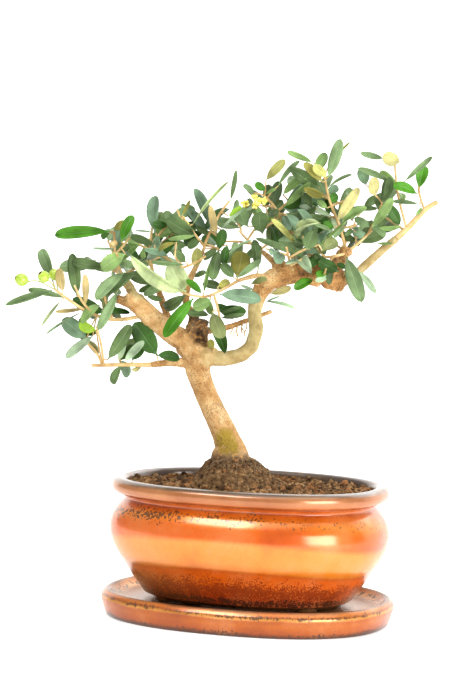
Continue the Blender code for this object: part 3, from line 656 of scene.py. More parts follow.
def crumbTemplates(finest):
    # each lumpy shape once in each colour
    made = []
    for kind in range(len(soil["crumbColours"])):
        for k in range(soil["shapes"]):
            bm = bmesh.new()
            bmesh.ops.create_icosphere(bm, subdivisions=finest, radius=1.0)
            for v in bm.verts:
                lump = noise.noise(v.co * 1.5 + Vector((k * 7.0, finest * 3.0, 0)))
                v.co *= 1 + soil["lumpy"] * lump
            for f in bm.faces:
                f.material_index = kind
            made.append(meshFrom(bm, "crumb%d_%d_%d" % (finest, kind, k)))
    return made


def scatterCrumbs(draws, count, sizes, templates):
    long, short = soilHalves()
    small, large = sizes
    placements = []
    while len(placements) < count:
        x, y = draws.uniform(-long, long), draws.uniform(-short, short)
        size = small + (large - small) * draws.random() ** soil["mostlySmall"]
        if not insideOval(x, y, soil["inset"] + 0.6 * size):
            continue
        if onMound(x, y):
            size *= 0.5
        turn = Matrix.Rotation(draws.uniform(0, 6.3), 4, Vector([draws.uniform(-1, 1) for _ in range(3)]))
        shape = Matrix.Diagonal((size, size * draws.uniform(0.6, 1), size * draws.uniform(0.5, 0.9), 1))
        up = soilHeight(x, y) + draws.uniform(-0.5, 0.5)
        placements.append((draws.choice(templates), Matrix.Translation((x, y, up)) @ turn @ shape))
    return placements


def fibreRuns(draws):
    # fine root fibres that lie on the soil, most of them near the trunk
    foot = treePoint(*trunkFoot)
    long, short = soilHalves()
    steps = soil["fibreSteps"]
    runs = []
    for _ in range(soil["fibres"]):
        near = draws.random() < soil["nearTrunk"]
        x = foot.x + draws.gauss(2, soil["nearSpread"]) if near else draws.uniform(-long, long)
        y = foot.y + draws.gauss(0, soil["nearSpread"]) if near else draws.uniform(-short, short)
        heading = draws.uniform(0, 6.3)
        length = draws.uniform(*soil["fibreLength"])
        bend = draws.uniform(-1.0, 1.0)
        route = []
        for _ in range(steps + 1):
            heading += bend * soil["fibreBend"]
            if insideOval(x, y, soil["inset"] + 0.8):
                route.append(Vector((x, y, soilHeight(x, y) + draws.uniform(*soil["fibreLift"]))))
            x, y = x + math.cos(heading) * length / steps, y + math.sin(heading) * length / steps
        if len(route) == steps + 1:
            runs.append((route, [draws.uniform(*soil["fibreRadius"])] * len(route)))
    return runs


def makeSoil():
    draws = random.Random(soil["seed"])
    bed = soilMaterial("dampSoil", [(0.34 + 0.11 * i, colour) for i, colour in enumerate(soil["bed"])])
    finishPiece("soil_bed", ovalBed(), [bed], ["soil"])
    crumbFinish = []
    for name, colour in soil["crumbColours"].items():
        darker, lighter = (tuple(c * share for c in colour) for share in soil["crumbTones"])
        crumbFinish.append(soilMaterial(name, [(0.35, darker), (0.5, colour), (0.68, lighter)]))
    crumbs = scatterCrumbs(draws, soil["crumbs"], soil["crumbSize"], crumbTemplates(1))
    clumps = scatterCrumbs(draws, soil["clumps"], soil["clumpSize"], crumbTemplates(2))
    finishPiece("soil_crumbs", joinCopies("soilCrumbs", crumbs), crumbFinish)
    finishPiece("soil_clumps", joinCopies("soilClumps", clumps), crumbFinish)
    runs = fibreRuns(draws)
    dark, light = soil["fibreColours"]
    fibre = soilMaterial("rootFibre", [(0.42, dark), (0.66, light)])
    finishPiece("soil_fibres", tubes("soilFibres", runs, 0), [fibre])
    print("soil made with", len(crumbs) + len(clumps), "crumbs and", len(runs), "fibres")


# The tree, laid out in its own front plane: across, up, back
treeTurn = math.radians(18)


def treePoint(across, up, back=0.0):
    return Matrix.Rotation(treeTurn, 3, "Z") @ Vector((across, back, up))


trunkFoot = (-11.0, 86.3, 0.0)

# Limbs: the points that each runs through, the radius at each, and the sides of the shape that keeps its room
limbs = {
    "trunk": dict(
        route=[trunkFoot, (-11, 90, 0), (-13, 96, 0), (-16.5, 104, 0), (-22.7, 116, 0), (-28.6, 129, 0),
               (-31.2, 138, 0), (-32, 146, 0), (-32, 154, 0), (-31, 163, 0)],
        radii=[11.5, 9.2, 7.6, 6.7, 6.2, 6.1, 7.2, 7.8, 6.2, 5.4], sides=12),
    "left_bough": dict(
        route=[(-33, 147, 0), (-44, 154, -1), (-56, 163, -2), (-65, 171, -2), (-70, 176, -2)],
        radii=[6.2, 5.9, 5.4, 5.2, 4.3], sides=10),
    "left_stub": dict(
        route=[(-66, 170, -2), (-76, 173, -3)],
        radii=[2.6, 2.4], sides=7),
    "left_riser": dict(
        route=[(-64, 172, -2), (-68, 179, -2), (-73, 186, -2)],
        radii=[2.2, 2.0, 1.6], sides=6),
    "left_low_bough": dict(
        route=[(-34, 138.6, 0), (-45, 139, -2), (-56, 137.6, -4)],
        radii=[2.8, 2.2, 1.7], sides=6),
    "right_low_bough": dict(
        route=[(-30, 144, 0), (-19, 142, -2), (-8, 144, -3), (-2.4, 148.6, -3)],
        radii=[4.8, 4.3, 4.0, 4.0], sides=10),
    "right_rising_bough": dict(
        route=[(-2, 149, -3), (0.4, 158, -3), (-0.6, 168, -2), (0.6, 175, -1)],
        radii=[4.0, 3.9, 3.8, 4.2], sides=10),
    "right_head": dict(
        route=[(0.8, 175.4, -1), (4, 182, 0), (11, 187, 0), (18, 189.5, 0), (27, 192, 0), (36, 190, 0),
               (43, 187, 0), (48, 186, 0)],
        radii=[4.2, 5.2, 6.0, 6.0, 5.6, 6.0, 6.6, 5.8], sides=10),
    "right_fork": dict(
        route=[(43, 188, -1), (46, 197, -1), (48, 203, -1)],
        radii=[2.5, 2.3, 2.6], sides=7),
    "right_arm": dict(
        route=[(44, 183.5, 3), (54.3, 190.5, 4), (64.4, 200.2, 3), (75.5, 210.2, 2)],
        radii=[2.5, 2.4, 2.2, 2.1], sides=6),
    "dry_twig": dict(
        route=[(-30, 156, 3), (-17, 158, 7), (-6, 162, 9), (9, 168, 8)],
        radii=[2.0, 1.7, 1.4, 1.1], sides=5),
    "back_left_bough": dict(
        route=[(-45, 156, 2), (-51, 171, 8), (-57, 187, 13)],
        radii=[2.2, 1.9, 1.5], sides=6),
    "centre_bough": dict(
        route=[(-31, 160, 1), (-38, 172, 3), (-36, 185, 3), (-30, 198, 1)],
        radii=[2.4, 2.1, 1.8, 1.4], sides=6),
    "right_back_bough": dict(
        route=[(21, 191, 2), (20, 205, 7), (13, 219, 9)],
        radii=[2.2, 1.9, 1.4], sides=6),
    "centre_arm": dict(
        route=[(8, 187, -3), (0, 188, -9), (-10, 185, -11)],
        radii=[1.6, 1.4, 1.2], sides=6),
    "back_bough": dict(
        route=[(14, 188, 2), (9, 195, 14), (3, 200, 25)],
        radii=[2.2, 1.8, 1.4], sides=6),
    "back_right_bough": dict(
        route=[(40, 188, 2), (43, 196, 14), (46, 202, 24)],
        radii=[2.0, 1.7, 1.4], sides=6),
    "back_low_bough": dict(
        route=[(-57, 164, 1), (-64, 170, 13), (-71, 177, 22)],
        radii=[2.0, 1.7, 1.3], sides=6),
}

# Masses of foliage: a stem that grows on from its limb and how stout it looks, shoots (share of the stem's
# length, tip, pairs of leaves) and fruit (share of the stem's length, middle, radius)
masses = {
    "leaves_left_tip": dict(
        seed=3, stout=1.3, stem=[(-61, 164, -2), (-78, 161.5, -3), (-94, 167, -5), (-109, 177, -7)],
        shoots=[(0.32, (-84, 182, -10), 2), (0.42, (-84, 170, 12), 2), (0.55, (-98, 180, -16), 1)],
        fruit=[(1.0, (-127, 182, -10), 3.0), (0.98, (-115, 184, -12), 2.7), (0.96, (-110, 185, -3), 2.6)]),
    "leaves_left_low": dict(
        seed=5, stout=1.6, stem=[(-56, 137.6, -4), (-70, 137.3, -5), (-88, 136.6, -8)],
        shoots=[(0.8, (-86, 158, -9), 2), (0.82, (-92, 149, -3), 1), (0.5, (-74, 142, 8), 1)]),
    "leaves_left_top": dict(
        seed=8, stem=[(-73, 186, -2), (-77, 195, -3), (-78, 209, -4)],
        shoots=[(0.2, (-89, 192, 3), 2), (0.5, (-69, 207, -8), 1), (0.3, (-76, 198, -16), 1),
                (0.4, (-82, 204, 10), 2)]),
    "leaves_back_left": dict(
        seed=13, stem=[(-57, 187, 13), (-59, 200, 14), (-58, 212, 13)],
        shoots=[(0.4, (-50, 206, 22), 2), (0.5, (-68, 204, 20), 2), (0.25, (-53, 196, 4), 1),
                (0.6, (-50, 213, 8), 1)]),
    "leaves_centre_top": dict(
        seed=21, stem=[(-30, 198, 1), (-28, 206, 1), (-22, 219, 2), (-16, 228, 2)],
        shoots=[(0.14, (-40, 217, -3), 2), (0.3, (-30, 212, 14), 2), (0.2, (-36, 206, -12), 2)]),
    "leaves_centre_front": dict(
        seed=34, stem=[(-10, 185, -11), (-27, 176, -13), (-41, 178, -14)],
        shoots=[(0.45, (-19, 163, -17), 2), (0.62, (-36, 166, -20), 1)]),
    "leaves_right_back": dict(
        seed=55, stem=[(13, 219, 9), (8, 226, 8), (3, 231, 7)],
        shoots=[(0.1, (3, 213, 2), 2), (0.3, (18, 230, 13), 2), (0.5, (4, 225, 20), 1),
                (0.2, (15, 221, -4), 1)],
        fruit=[(1.0, (-5, 228, 1), 1.9), (1.0, (-2, 230, 3), 1.7), (0.97, (-9, 226, 3), 1.5)]),
    "leaves_right_top": dict(
        seed=71, stem=[(48, 203, -1), (44, 216, -2), (38, 230, -2), (35, 243, -1)],
        shoots=[(0.45, (36, 222, 10), 2), (0.6, (50, 230, 8), 1), (0.3, (52, 217, -12), 1),
                (0.7, (30, 236, 10), 1)]),
    "leaves_right_low": dict(
        seed=89, stem=[(47, 201, -3), (38, 199, -7), (27, 200, -8)],
        shoots=[(0.3, (36, 190, -16), 2), (0.85, (24, 210, -16), 2), (0.55, (30, 208, -4), 1),
                (0.9, (18, 194, -15), 1)]),
    "leaves_right_mid": dict(
        seed=101, stem=[(49, 202, 1), (56, 208, 3), (62, 214, 3)],
        shoots=[(0.5, (58, 220, -4), 2), (0.8, (67, 229, 5), 2), (0.35, (55, 212, 14), 2)]),
    "leaves_right_tip": dict(
        seed=113, stout=2.2, stem=[(75.5, 210.2, 2), (82.6, 217.3, 2), (90.6, 226.3, 2), (97, 230.5, 2)],
        shoots=[(0.25, (73, 252, 2), 2), (0.72, (86, 246, 2), 0), (0.2, (70, 221, 10), 1)]),
    "leaves_back_centre": dict(
        seed=127, stem=[(3, 200, 25), (-4, 205, 34), (-10, 211, 44)],
        shoots=[(0.1, (16, 210, 33), 2), (0.4, (-18, 205, 30), 1), (0.6, (4, 219, 42), 2),
                (0.9, (-12, 216, 56), 1)]),
    "leaves_back_right": dict(
        seed=131, stem=[(46, 202, 24), (50, 208, 33), (52, 215, 42)],
        shoots=[(0.1, (34, 213, 28), 2), (0.4, (66, 213, 32), 1), (0.6, (42, 224, 40), 2),
                (0.9, (56, 216, 54), 1)]),
    "leaves_back_low": dict(
        seed=149, stem=[(-71, 177, 22), (-76, 183, 30), (-79, 190, 39)],
        shoots=[(0.2, (-86, 178, 24), 1), (0.5, (-64, 190, 36), 2), (0.7, (-92, 192, 38), 2),
                (0.9, (-78, 188, 51), 1)]),
    "leaves_front_centre": dict(
        seed=163, stem=[(-37, 184, 1), (-40, 190, -12), (-42, 196, -24)],
        shoots=[(0.5, (-55, 200, -22), 2), (0.6, (-28, 198, -28), 2), (0.9, (-44, 198, -37), 2)]),
    "leaves_front_right": dict(
        seed=173, stem=[(20, 190, -2), (17, 197, -15), (15, 204, -27)],
        shoots=[(0.6, (32, 206, -26), 2), (0.7, (4, 203, -28), 2), (0.95, (24, 216, -38), 1),
                (0.9, (6, 212, -38), 1)]),
}

# Leaves that the photograph shows one by one, by the mass that they grow from: where the root and the tip lie
# across and up, how far back the tip is, the width and the kind of leaf
shownLeaves = {
    "leaves_left_tip": [
        (-97, 174, -100.5, 197, -6, 7, "dark"), (-110.5, 181, -118, 198.5, 4, 6.6, "grey"),
        (-104.5, 176, -106.5, 189, -12, 5.6, "tan"), (-92.5, 169, -93, 186, -8, 4, "tan"),
        (-103, 172.5, -124, 176.5, -4, 3.8, "grey"), (-110, 177, -135.5, 168, -10, 4, "grey"),
        (-105.5, 171.5, -116, 157, -4, 1.9, "pale"), (-92.5, 167, -109.5, 164.5, 4, 2.4, "tan"),
        (-93, 166, -114, 152, 3, 1.4, "silver"), (-85, 169, -94, 159.5, -12, 5.4, "mint"),
        (-86, 155.5, -95.5, 159.5, -8, 5.8, "lime"), (-91.5, 151, -105, 161, -2, 9.3, "blue"),
        (-88, 152.5, -102.5, 140, -6, 5.4, "silver"), (-85.5, 154.5, -91, 153, -2, 3, "deep"),
        (-71.5, 187.5, -86.5, 172.5, -14, 6.6, "grey"), (-75, 177.5, -85, 156, -10, 5.4, "grey"),
        (-83, 166, -68.5, 165, 4, 3.4, "deep"), (-77, 162, -68, 162, 3, 2, "deep")],
    "leaves_left_low": [
        (-79.5, 140, -67.5, 159.5, -10, 7.3, "dark"), (-53, 143, -65.8, 160.3, -4, 11.4, "deep"),
        (-70.5, 139, -60, 151, -12, 4.6, "silver"), (-73.5, 139.5, -71, 149.5, -6, 3.9, "silver"),
        (-66.5, 139.5, -62, 149.5, 2, 7, "deep"), (-72, 137, -76.5, 126.5, -6, 5, "dark"),
        (-61, 138, -66.5, 134, 0, 3, "cream"), (-53, 143, -40.5, 141.5, -10, 5.8, "deep")],
    "leaves_left_top": [
        (-80, 209.5, -110, 206.4, -8, 7, "bright"), (-74, 204, -68, 218.5, -8, 5.8, "bright"),
        (-78.5, 210, -71.5, 214.5, 0, 5, "olive"), (-80.5, 208.5, -85, 205.5, 0, 3.4, "deep"),
        (-76, 200, -90, 200, 2, 1.4, "silver"), (-71.5, 197.5, -84, 189, -14, 8.5, "mint"),
        (-80, 190, -100.5, 192.5, -6, 5.5, "dark"), (-76.5, 198, -70, 202, -2, 5, "dark")],
    "leaves_back_left": [
        (-56, 209, -56.5, 229.5, 11, 7, "blue"), (-45, 214.5, -51.5, 221, 8, 5.5, "grey"),
        (-49, 213.5, -57.5, 214, 4, 4.8, "deep"), (-58, 209.5, -67.5, 210, 6, 1.1, "silver")],
    "leaves_front_centre": [
        (-60.5, 194.5, -54, 208, -20, 5.5, "blue"), (-55.5, 203, -68.5, 207.5, -16, 4.5, "dark"),
        (-43.5, 205, -53, 200, -24, 3.2, "olive"), (-48, 197.5, -61, 200.5, -26, 3.6, "blue"),
        (-38.5, 194.5, -46.5, 200.5, -28, 5.2, "dark"), (-38.5, 193, -57, 194, -22, 2.8, "grey"),
        (-44, 204, -44.5, 198.5, -22, 3, "blue"), (-50, 181.5, -61, 175.5, -6, 4.6, "grey"),
        (-50.5, 172.5, -59, 175, -4, 3, "dark")],
    "leaves_centre_top": [
        (-34, 208.5, -50, 217, 0, 9, "dark"), (-34, 208.5, -48.5, 206, -8, 2.8, "mint"),
        (-31, 207, -38, 201.5, 2, 5.5, "dark"), (-41.5, 219, -37.5, 227.5, 0, 2, "olive"),
        (-42.5, 218, -44.5, 222.5, 0, 1.4, "tan"), (-35.6, 214.5, -16.7, 238.3, -4, 1.9, "pale"),
        (-26, 214, -35.5, 234, 4, 6.4, "blue"), (-22.5, 208.5, -26.5, 225, -6, 4.4, "tan"),
        (-15.5, 228, -12.9, 244.6, 1, 2.8, "dark"), (-21, 201, -19, 212.5, -4, 6.2, "deep"),
        (-25, 209, -34, 213, 3, 3.4, "dark"), (-33.5, 191.5, -33, 202, -10, 6.4, "khaki"),
        (-21, 201.5, -24, 185, -12, 6.4, "dark"), (-22, 202, -29, 195.5, -8, 4.5, "dark"),
        (-20.5, 212, -8.5, 223.5, -4, 1.6, "silver"), (-16.5, 219.5, -9.5, 225, -2, 2.8, "lime"),
        (-16, 199, -3, 207, -8, 1.6, "silver")],
    "leaves_centre_front": [
        (-12.5, 186.5, -19.5, 194, -14, 5.5, "dark"), (-11, 187, -8.5, 201, -12, 11, "olive"),
        (-28.5, 178, -25.5, 194.5, -20, 2.2, "mint"), (-11, 186.5, 2, 197, -20, 3.8, "grey"),
        (-20, 177.5, 2.5, 175.5, -22, 8, "blue"), (-34, 175, -49, 154, -22, 7.4, "bright"),
        (-38, 178, -68, 197, -24, 7.6, "pale"), (-38.5, 179.5, -47.5, 194, -16, 12, "pale"),
        (-29.5, 177.5, -38, 184.5, -12, 4.2, "bright"), (-23.5, 168, -17.5, 154.5, -26, 8.2, "sage"),
        (-23, 158.5, -16, 146, -18, 6.5, "deep"), (-24.5, 174.5, -34, 169.5, -14, 7, "mint"),
        (-25, 165.5, -37, 166.5, -12, 4.3, "dark"), (-19.5, 167.5, -8, 171.5, -18, 2.1, "dark"),
        (-19, 165, -6, 167.5, -20, 2.9, "dark"), (-22, 148, -25, 152.5, -12, 4, "olive"),
        (-34, 186, -27.5, 189, -8, 3.4, "dark"), (-21, 181.5, -14.5, 184, -10, 5, "olive"),
        (-38, 176.5, -50, 168.5, 4, 6.5, "dark"), (-55, 181, -64, 177, 2, 3.5, "dark"),
        (-18, 180, -29, 183, 4, 6, "dark"), (-26, 175, -24.2, 165.5, 0, 4.5, "mint"),
        (-16.5, 204, -18.5, 193.5, -6, 5, "deep"), (2, 203.5, -7, 196.5, 4, 5, "dark"),
        (-3, 183.5, 5.5, 186.5, -12, 3.6, "sage"), (-9.5, 183, -2, 180.5, -12, 1.8, "silver"),
        (4.5, 174, 21.5, 170.5, -6, 2.1, "silver"), (5, 173.5, 13, 177, -6, 1.1, "silver"),
        (7.5, 178, 19, 181.5, 6, 4.4, "cream")],
    "leaves_right_back": [
        (-5.5, 214, -10.5, 224, 4, 8.5, "grey"), (2.5, 210.5, 1, 222.5, -4, 9, "dark"),
        (3.5, 239.5, 13.5, 251, 3, 5.2, "khaki"), (-2.5, 232.5, -9, 236.5, 2, 3.6, "grey"),
        (3.5, 234.5, -2.5, 237.5, 2, 4.6, "bright"), (-1, 225.5, -7, 222.5, 0, 2, "grey"),
        (3.5, 232, 9, 235, 2, 2, "mint"), (10.2, 236.7, 21.5, 250.7, 4, 3.2, "grey"),
        (13, 232, 26.5, 243.5, -2, 4.4, "mint"), (14, 225.5, 27.5, 239, -6, 4, "mint"),
        (5, 221, 11, 223, 2, 4, "dark")],
    "leaves_front_right": [
        (0.5, 192, -2.5, 207.5, -22, 6.2, "dark"), (21.5, 204.5, 6.5, 219, -34, 3.6, "khaki"),
        (22, 200.5, -1.5, 208.5, -30, 3.6, "grey"), (23, 206.5, 20.5, 224.5, -32, 6.2, "blue"),
        (23, 206, 31.5, 218, -38, 4.5, "pale"), (26, 203, 29, 213.5, -28, 8.5, "dark"),
        (34, 203, 41.5, 209, -22, 7.8, "sage"), (20.5, 198, 28.5, 190.5, -24, 6.5, "silver"),
        (24.5, 199, 15, 195.5, -28, 3.2, "silver")],
    "leaves_right_low": [
        (44, 191.5, 32.5, 197, -18, 6.8, "deep"), (38, 191, 31.5, 189.5, -20, 4.2, "bright"),
        (33, 199, 27.5, 193.5, -16, 5.2, "deep"), (49, 193.5, 43, 195.5, -10, 3, "deep"),
        (30.5, 186.5, 20, 181.5, -16, 5.4, "bright"), (38, 188.5, 31, 186.5, -18, 3.6, "silver"),
        (48, 199.5, 57, 175.5, -12, 8.4, "grey"), (55, 192, 65, 180, -2, 3.8, "silver")],
    "leaves_right_top": [
        (37, 242, 43, 263, -4, 6.6, "grey"), (30.5, 245.5, 35.5, 255.5, 4, 6, "mint"),
        (36, 242.5, 28.5, 248, -10, 5.5, "khaki"), (34, 239.5, 23.5, 249.5, -6, 5.2, "olive"),
        (28.5, 250, 14.5, 255.5, 5, 3.4, "mint"), (32.5, 236.5, 16, 246.5, -4, 7, "dark"),
        (35, 231.5, 23.5, 236, -10, 4.8, "olive"), (29, 225.5, 22, 233, -6, 5, "dark"),
        (37, 236.5, 50, 244, -2, 1.9, "grey"), (36, 233, 43, 237, 4, 4.6, "blue"),
        (37.5, 229, 42.5, 233, 0, 5, "bright"), (42.5, 218.5, 53.5, 237, -10, 6, "cream"),
        (45, 218, 58.5, 226.5, -4, 5, "mint"), (50, 226, 64.5, 226, 2, 3, "dark"),
        (41, 215, 35, 217.5, -6, 4, "bright"), (37, 225.5, 31.5, 229.5, -4, 3.6, "mint"),
        (38.5, 250, 48.5, 261.5, 2, 1.2, "olive"), (36, 221, 24.5, 219.5, -14, 4.5, "dark"),
        (40, 213, 29.5, 216.5, -20, 2.6, "grey"), (30.5, 202, 46, 219, -34, 1.6, "mint")],
    "leaves_right_mid": [
        (61.5, 215.5, 72, 232, -8, 5.4, "mint"), (60.5, 216, 52, 220.5, 0, 4.6, "grey"),
        (67, 229.5, 70.5, 243.5, -2, 5.2, "dark"), (63, 233, 60.5, 242.5, -8, 7.6, "cream"),
        (58, 238.5, 54.5, 247.5, 2, 6.2, "blue"), (71, 241, 53, 247.5, 0, 3.6, "grey"),
        (61.5, 216, 69, 211, -4, 4.2, "grey"), (58.5, 212.5, 53, 211.5, 4, 4.6, "blue"),
        (46.5, 210.5, 51.5, 214, 2, 3, "dark")],
    "leaves_right_tip": [
        (77.5, 217.5, 71, 227.5, 2, 6, "deep"), (75.8, 251.5, 66, 254.8, -6, 7.6, "cream"),
        (67, 253.2, 54.3, 255.9, 2, 3.6, "grey"), (85.5, 234.5, 72, 239, -6, 5.6, "bright"),
        (78.5, 241, 93, 255, -4, 3.2, "grey"), (87, 237.5, 89.5, 250, 3, 6.6, "bright"),
        (87, 229, 72.5, 230, 0, 2.5, "grey"), (78, 217, 65.5, 215.5, -4, 2.7, "mint"),
        (74, 207.5, 65, 207, -2, 1.5, "mint"), (88.5, 227.5, 85.5, 223, 0, 2, "mint")],
}

# Where the photograph shows sky through and beside the crown: across, up, radius
sky = [
    (-94, 220, 11), (-79, 223, 7), (-63, 221, 5), (-98, 201.5, 4.5), (-90, 204, 3), (-88, 196, 3),
    (-110, 197, 4), (-88, 181, 5), (-107, 166, 2.5), (-80, 150, 4), (-80, 172, 2), (-104, 147, 4),
    (-48, 150, 6), (-41, 161, 2.5), (-93, 143, 4), (-15, 208, 5), (-29, 185, 3.5), (-14, 172.5, 2),
    (-12, 155, 6), (-8, 150, 5), (-48, 228, 5), (-24, 231, 4), (-3, 245, 7), (16, 236, 3.5), (26, 261, 5),
    (12, 172, 7), (30, 176, 7), (50, 183, 4), (55, 197, 4.5), (64, 205, 4), (76, 205, 8), (50, 214.5, 2.5),
    (66, 222, 3), (80, 225, 4), (84, 221, 4), (59, 230.5, 3), (47, 241, 2.5), (49, 251, 6), (61, 251, 3),
    (77, 247, 3.5), (82, 253, 7), (92, 240, 5), (-86, 130, 6), (-62, 131, 4), (-54, 133, 4), (77, 261, 6),
    (70, 260, 3), (97, 238, 7), (-91, 197.5, 4), (-105.5, 193, 3), (-82, 217, 4.5), (-104, 183, 2),
    (-87, 176, 3), (-22, 190, 1.5), (-60, 214, 3), (20, 252, 2), (66, 261, 5), (-83, 202, 4),
    (-64.5, 202, 3), (-94.5, 196.5, 2.5), (-94, 187, 2.5), (-82, 184, 3), (-78, 215, 2.5), (-65, 215, 4),
    (-60, 210, 2), (-51.5, 205, 2), (-45, 221.5, 2.5), (-91, 174, 3), (-75.5, 168.5, 3), (-75, 155.5, 3),
    (-83, 144, 3), (-6.5, 211.5, 5), (-5, 219.5, 2), (4, 224, 2), (11, 229, 2), (45.5, 236, 4),
    (57, 236, 2), (58, 222.5, 3), (65.5, 237.5, 2), (53, 215, 2.5), (66, 217.5, 2), (80.5, 241, 2),
    (-65, 134.5, 3.5), (-86.5, 149.5, 3), (-81.5, 142, 3), (44, 179, 3.5), (44, 186, 4), (12, 188, 6),
    (-38.5, 155, 4.5), (-76, 139.5, 2.5), (-101.5, 193.5, 4),
]

growth = {
    "stemRadius": (1.15, 0.8), "shootRadius": (0.85, 0.85, 0.7), "stalkRadius": 0.6, "leafLength": 17.0,
    "leafSpread": 4.0, "leafSlim": 0.46, "lean": math.radians(50), "leafRoot": 0.32, "leafThickness": 1.0,
    "tries": 9, "leafRoom": 0.4, "twigRoom": 0.5, "bladeFrom": 0.3, "firstPair": 0.35, "pairsOver": 0.5,
    "tipLean": 0.62, "shrink": 0.5, "skyRoom": 0.8, "ownTwigFrom": 0.8,
}


def limbRun(name):
    route = smoothRoute([treePoint(*p) for p in limbs[name]["route"]])
    return route, spread(limbs[name]["radii"], len(route))


def tubeShape(route, radii, sides=3):
    # points and faces of a tube, for testing what it would touch
    points, faces, side = [], [], None
    for i, (point, radius) in enumerate(zip(route, radii)):
        along = (route[min(i + 1, len(route) - 1)] - route[max(i - 1, 0)]).normalized()
        if side is None:
            side = along.orthogonal().normalized()
        side = (side - along * side.dot(along)).normalized()
        turned = along.cross(side)
        for k in range(sides):
            a = 2 * math.pi * k / sides
            points.append(point + radius * (math.cos(a) * side + math.sin(a) * turned))
        if i:
            low = (i - 1) * sides
            for k in range(sides):
                after = (k + 1) % sides
                faces.append([low + k, low + after, low + sides + after, low + sides + k])
    faces.append(list(range(sides)))
    faces.append(list(range(len(points) - sides, len(points))))
    return points, faces


def leafShape(leaf, grow=0.0, start=0.0):
    # points and faces of a leaf as the solid has it, for testing what it would touch
    root, tip, normal, width, full = leaf[:5]
    width, thick = width + 2 * grow, growth["leafThickness"] + 2 * grow
    along = tip - root
    side = along.cross(normal).normalized()
    up = side.cross(along).normalized()
    sections = [(start, width / 4 if start else growth["leafRoot"], thick if start else growth["leafRoot"])]
    if full:
        sections += [(0.36, 0.47 * width, thick), (0.72, 0.4 * width, thick)]
    else:
        sections.append((0.46, width / 2, thick))
    points = []
    for share, half, keel in sections:
        centre = root + along * share
        points += [centre - side * half - up * keel / 4, centre + side * half - up * keel / 4,
                   centre + up * keel / 2]
    points.append(tip.copy())
    faces, last = [(2, 1, 0)], 3 * len(sections) - 3
    for ring in range(0, last, 3):
        for k in range(3):
            after = (k + 1) % 3
            faces += [(ring + k, ring + after, ring + 3 + after), (ring + k, ring + 3 + after, ring + 3 + k)]
    faces += [(last, last + 1, last + 3), (last + 1, last + 2, last + 3), (last + 2, last, last + 3)]
    return points, faces


# What already stands in the tree: a search tree of its faces, a ball round it and its owner
taken = []


def take(points, faces, owner):
    middle = sum(points, Vector()) / len(points)
    reach = max((p - middle).length for p in points)
    taken.append((BVHTree.FromPolygons(points, faces), middle, reach, owner))


def isFree(points, faces, ignored):
    middle = sum(points, Vector()) / len(points)
    reach = max((p - middle).length for p in points)
    tested = BVHTree.FromPolygons(points, faces)
    for shape, centre, size, owner in taken:
        if owner not in ignored and (middle - centre).length < reach + size and tested.overlap(shape):
            return False
    return True


def leafFits(mass, leaf):
    blade = leafShape(leaf, grow=growth["leafRoom"])
    outer = leafShape(leaf, start=growth["bladeFrom"])
    return isFree(*blade, ignored=(mass, mass + ":blades")) and isFree(*outer, ignored=(mass,))


def facing(along, draws):
    # the way a leaf's upper side looks: forwards and up, and never along the leaf
    wanted = treePoint(draws.uniform(-0.9, 0.9), draws.uniform(0.0, 1.0), draws.uniform(-1.3, -0.5))
    flat = wanted - along * wanted.dot(along)
    return flat.normalized() if flat.length > 0.1 else along.orthogonal().normalized()


def alongRoute(route, share):
    lengths = [(b - a).length for a, b in zip(route, route[1:])]
    left = share * sum(lengths)
    for a, b, length in zip(route, route[1:], lengths):
        if left <= length:
            return a.lerp(b, left / length)
        left -= length
    return route[-1].copy()


def inPlane(point):
    # across, up and back of a point, in the tree's own plane
    return point.dot(treePoint(1, 0)), point.z, point.dot(treePoint(0, 0, 1))


def nearestCarrier(across, up, runs):
    # the point of the twigs and limbs that lies nearest to a place as seen from the front, how far off it is,
    # and the run that it is on
    best, least, carrier = None, math.inf, None
    for route, radii in runs:
        for start, end, radius in zip(route, route[1:], radii):
            for step in range(5):
                point = start.lerp(end, step / 4)
                sideways, high, back = inPlane(point)
                off = max(0.0, math.hypot(sideways - across, high - up) - radius)
                if off < least:
                    best, least, carrier = treePoint(sideways, high, back - 0.6 * radius), off, route
    return best, least, carrier


# The shown leaves' middle lines across and up, with their reach and depth
inSight = []


def growShown(name, grown, limbRuns):
    # a shown leaf grows from the nearest twig, on a short twig of its own where that is some way off
    draws = random.Random(masses[name]["seed"] + 5)
    runs = grown["twigs"] + limbRuns
    for across, up, tipAcross, tipUp, tipBack, width, kind in shownLeaves.get(name, []):
        start, off, route = nearestCarrier(across, up, runs)
        grown["bearing"].append(route)
        back = inPlane(start)[2]
        back += max(-6.0, min(6.0, 0.4 * (tipBack - back)))
        root, tip = treePoint(across, up, back), treePoint(tipAcross, tipUp, tipBack)
        if off > growth["ownTwigFrom"]:
            bent = start.lerp(root, 0.5) + treePoint(0, 0.08 * off)
            grown["finer"].append(([start, bent, root], list(finer["radius"])))
        heading = (tip - root).normalized()
        towards = treePoint(draws.uniform(-0.45, 0.45), draws.uniform(-0.2, 0.5), -1)
        normal = (towards - heading * towards.dot(heading)).normalized()
        leaf = (root, tip, normal, width, True)
        grown["shown"].append((leaf, kind))
        take(*leafShape(leaf, start=growth["bladeFrom"]), owner=name + ":blades")
        reach, depth = 0.5 * width + 1.6, (back + tipBack) / 2
        inSight.append((Vector((across, up)), Vector((tipAcross, tipUp)), reach, depth))


def keepsSight(leaf):
    # whether a leaf leaves open the sky and the shown leaves behind it
    for share in (0.3, 0.65, 1.0):
        across, up, back = inPlane(leaf[0].lerp(leaf[1], share))
        place = Vector((across, up))
        if any((place - Vector(spot[:2])).length < spot[2] + growth["skyRoom"] for spot in sky):
            return False
        for start, end, reach, depth in inSight:
            if back < depth + 0.5:
                along = end - start
                t = max(0.0, min(1.0, (place - start).dot(along) / along.length_squared))
                if (place - start - along * t).length < reach:
                    return False
    return True


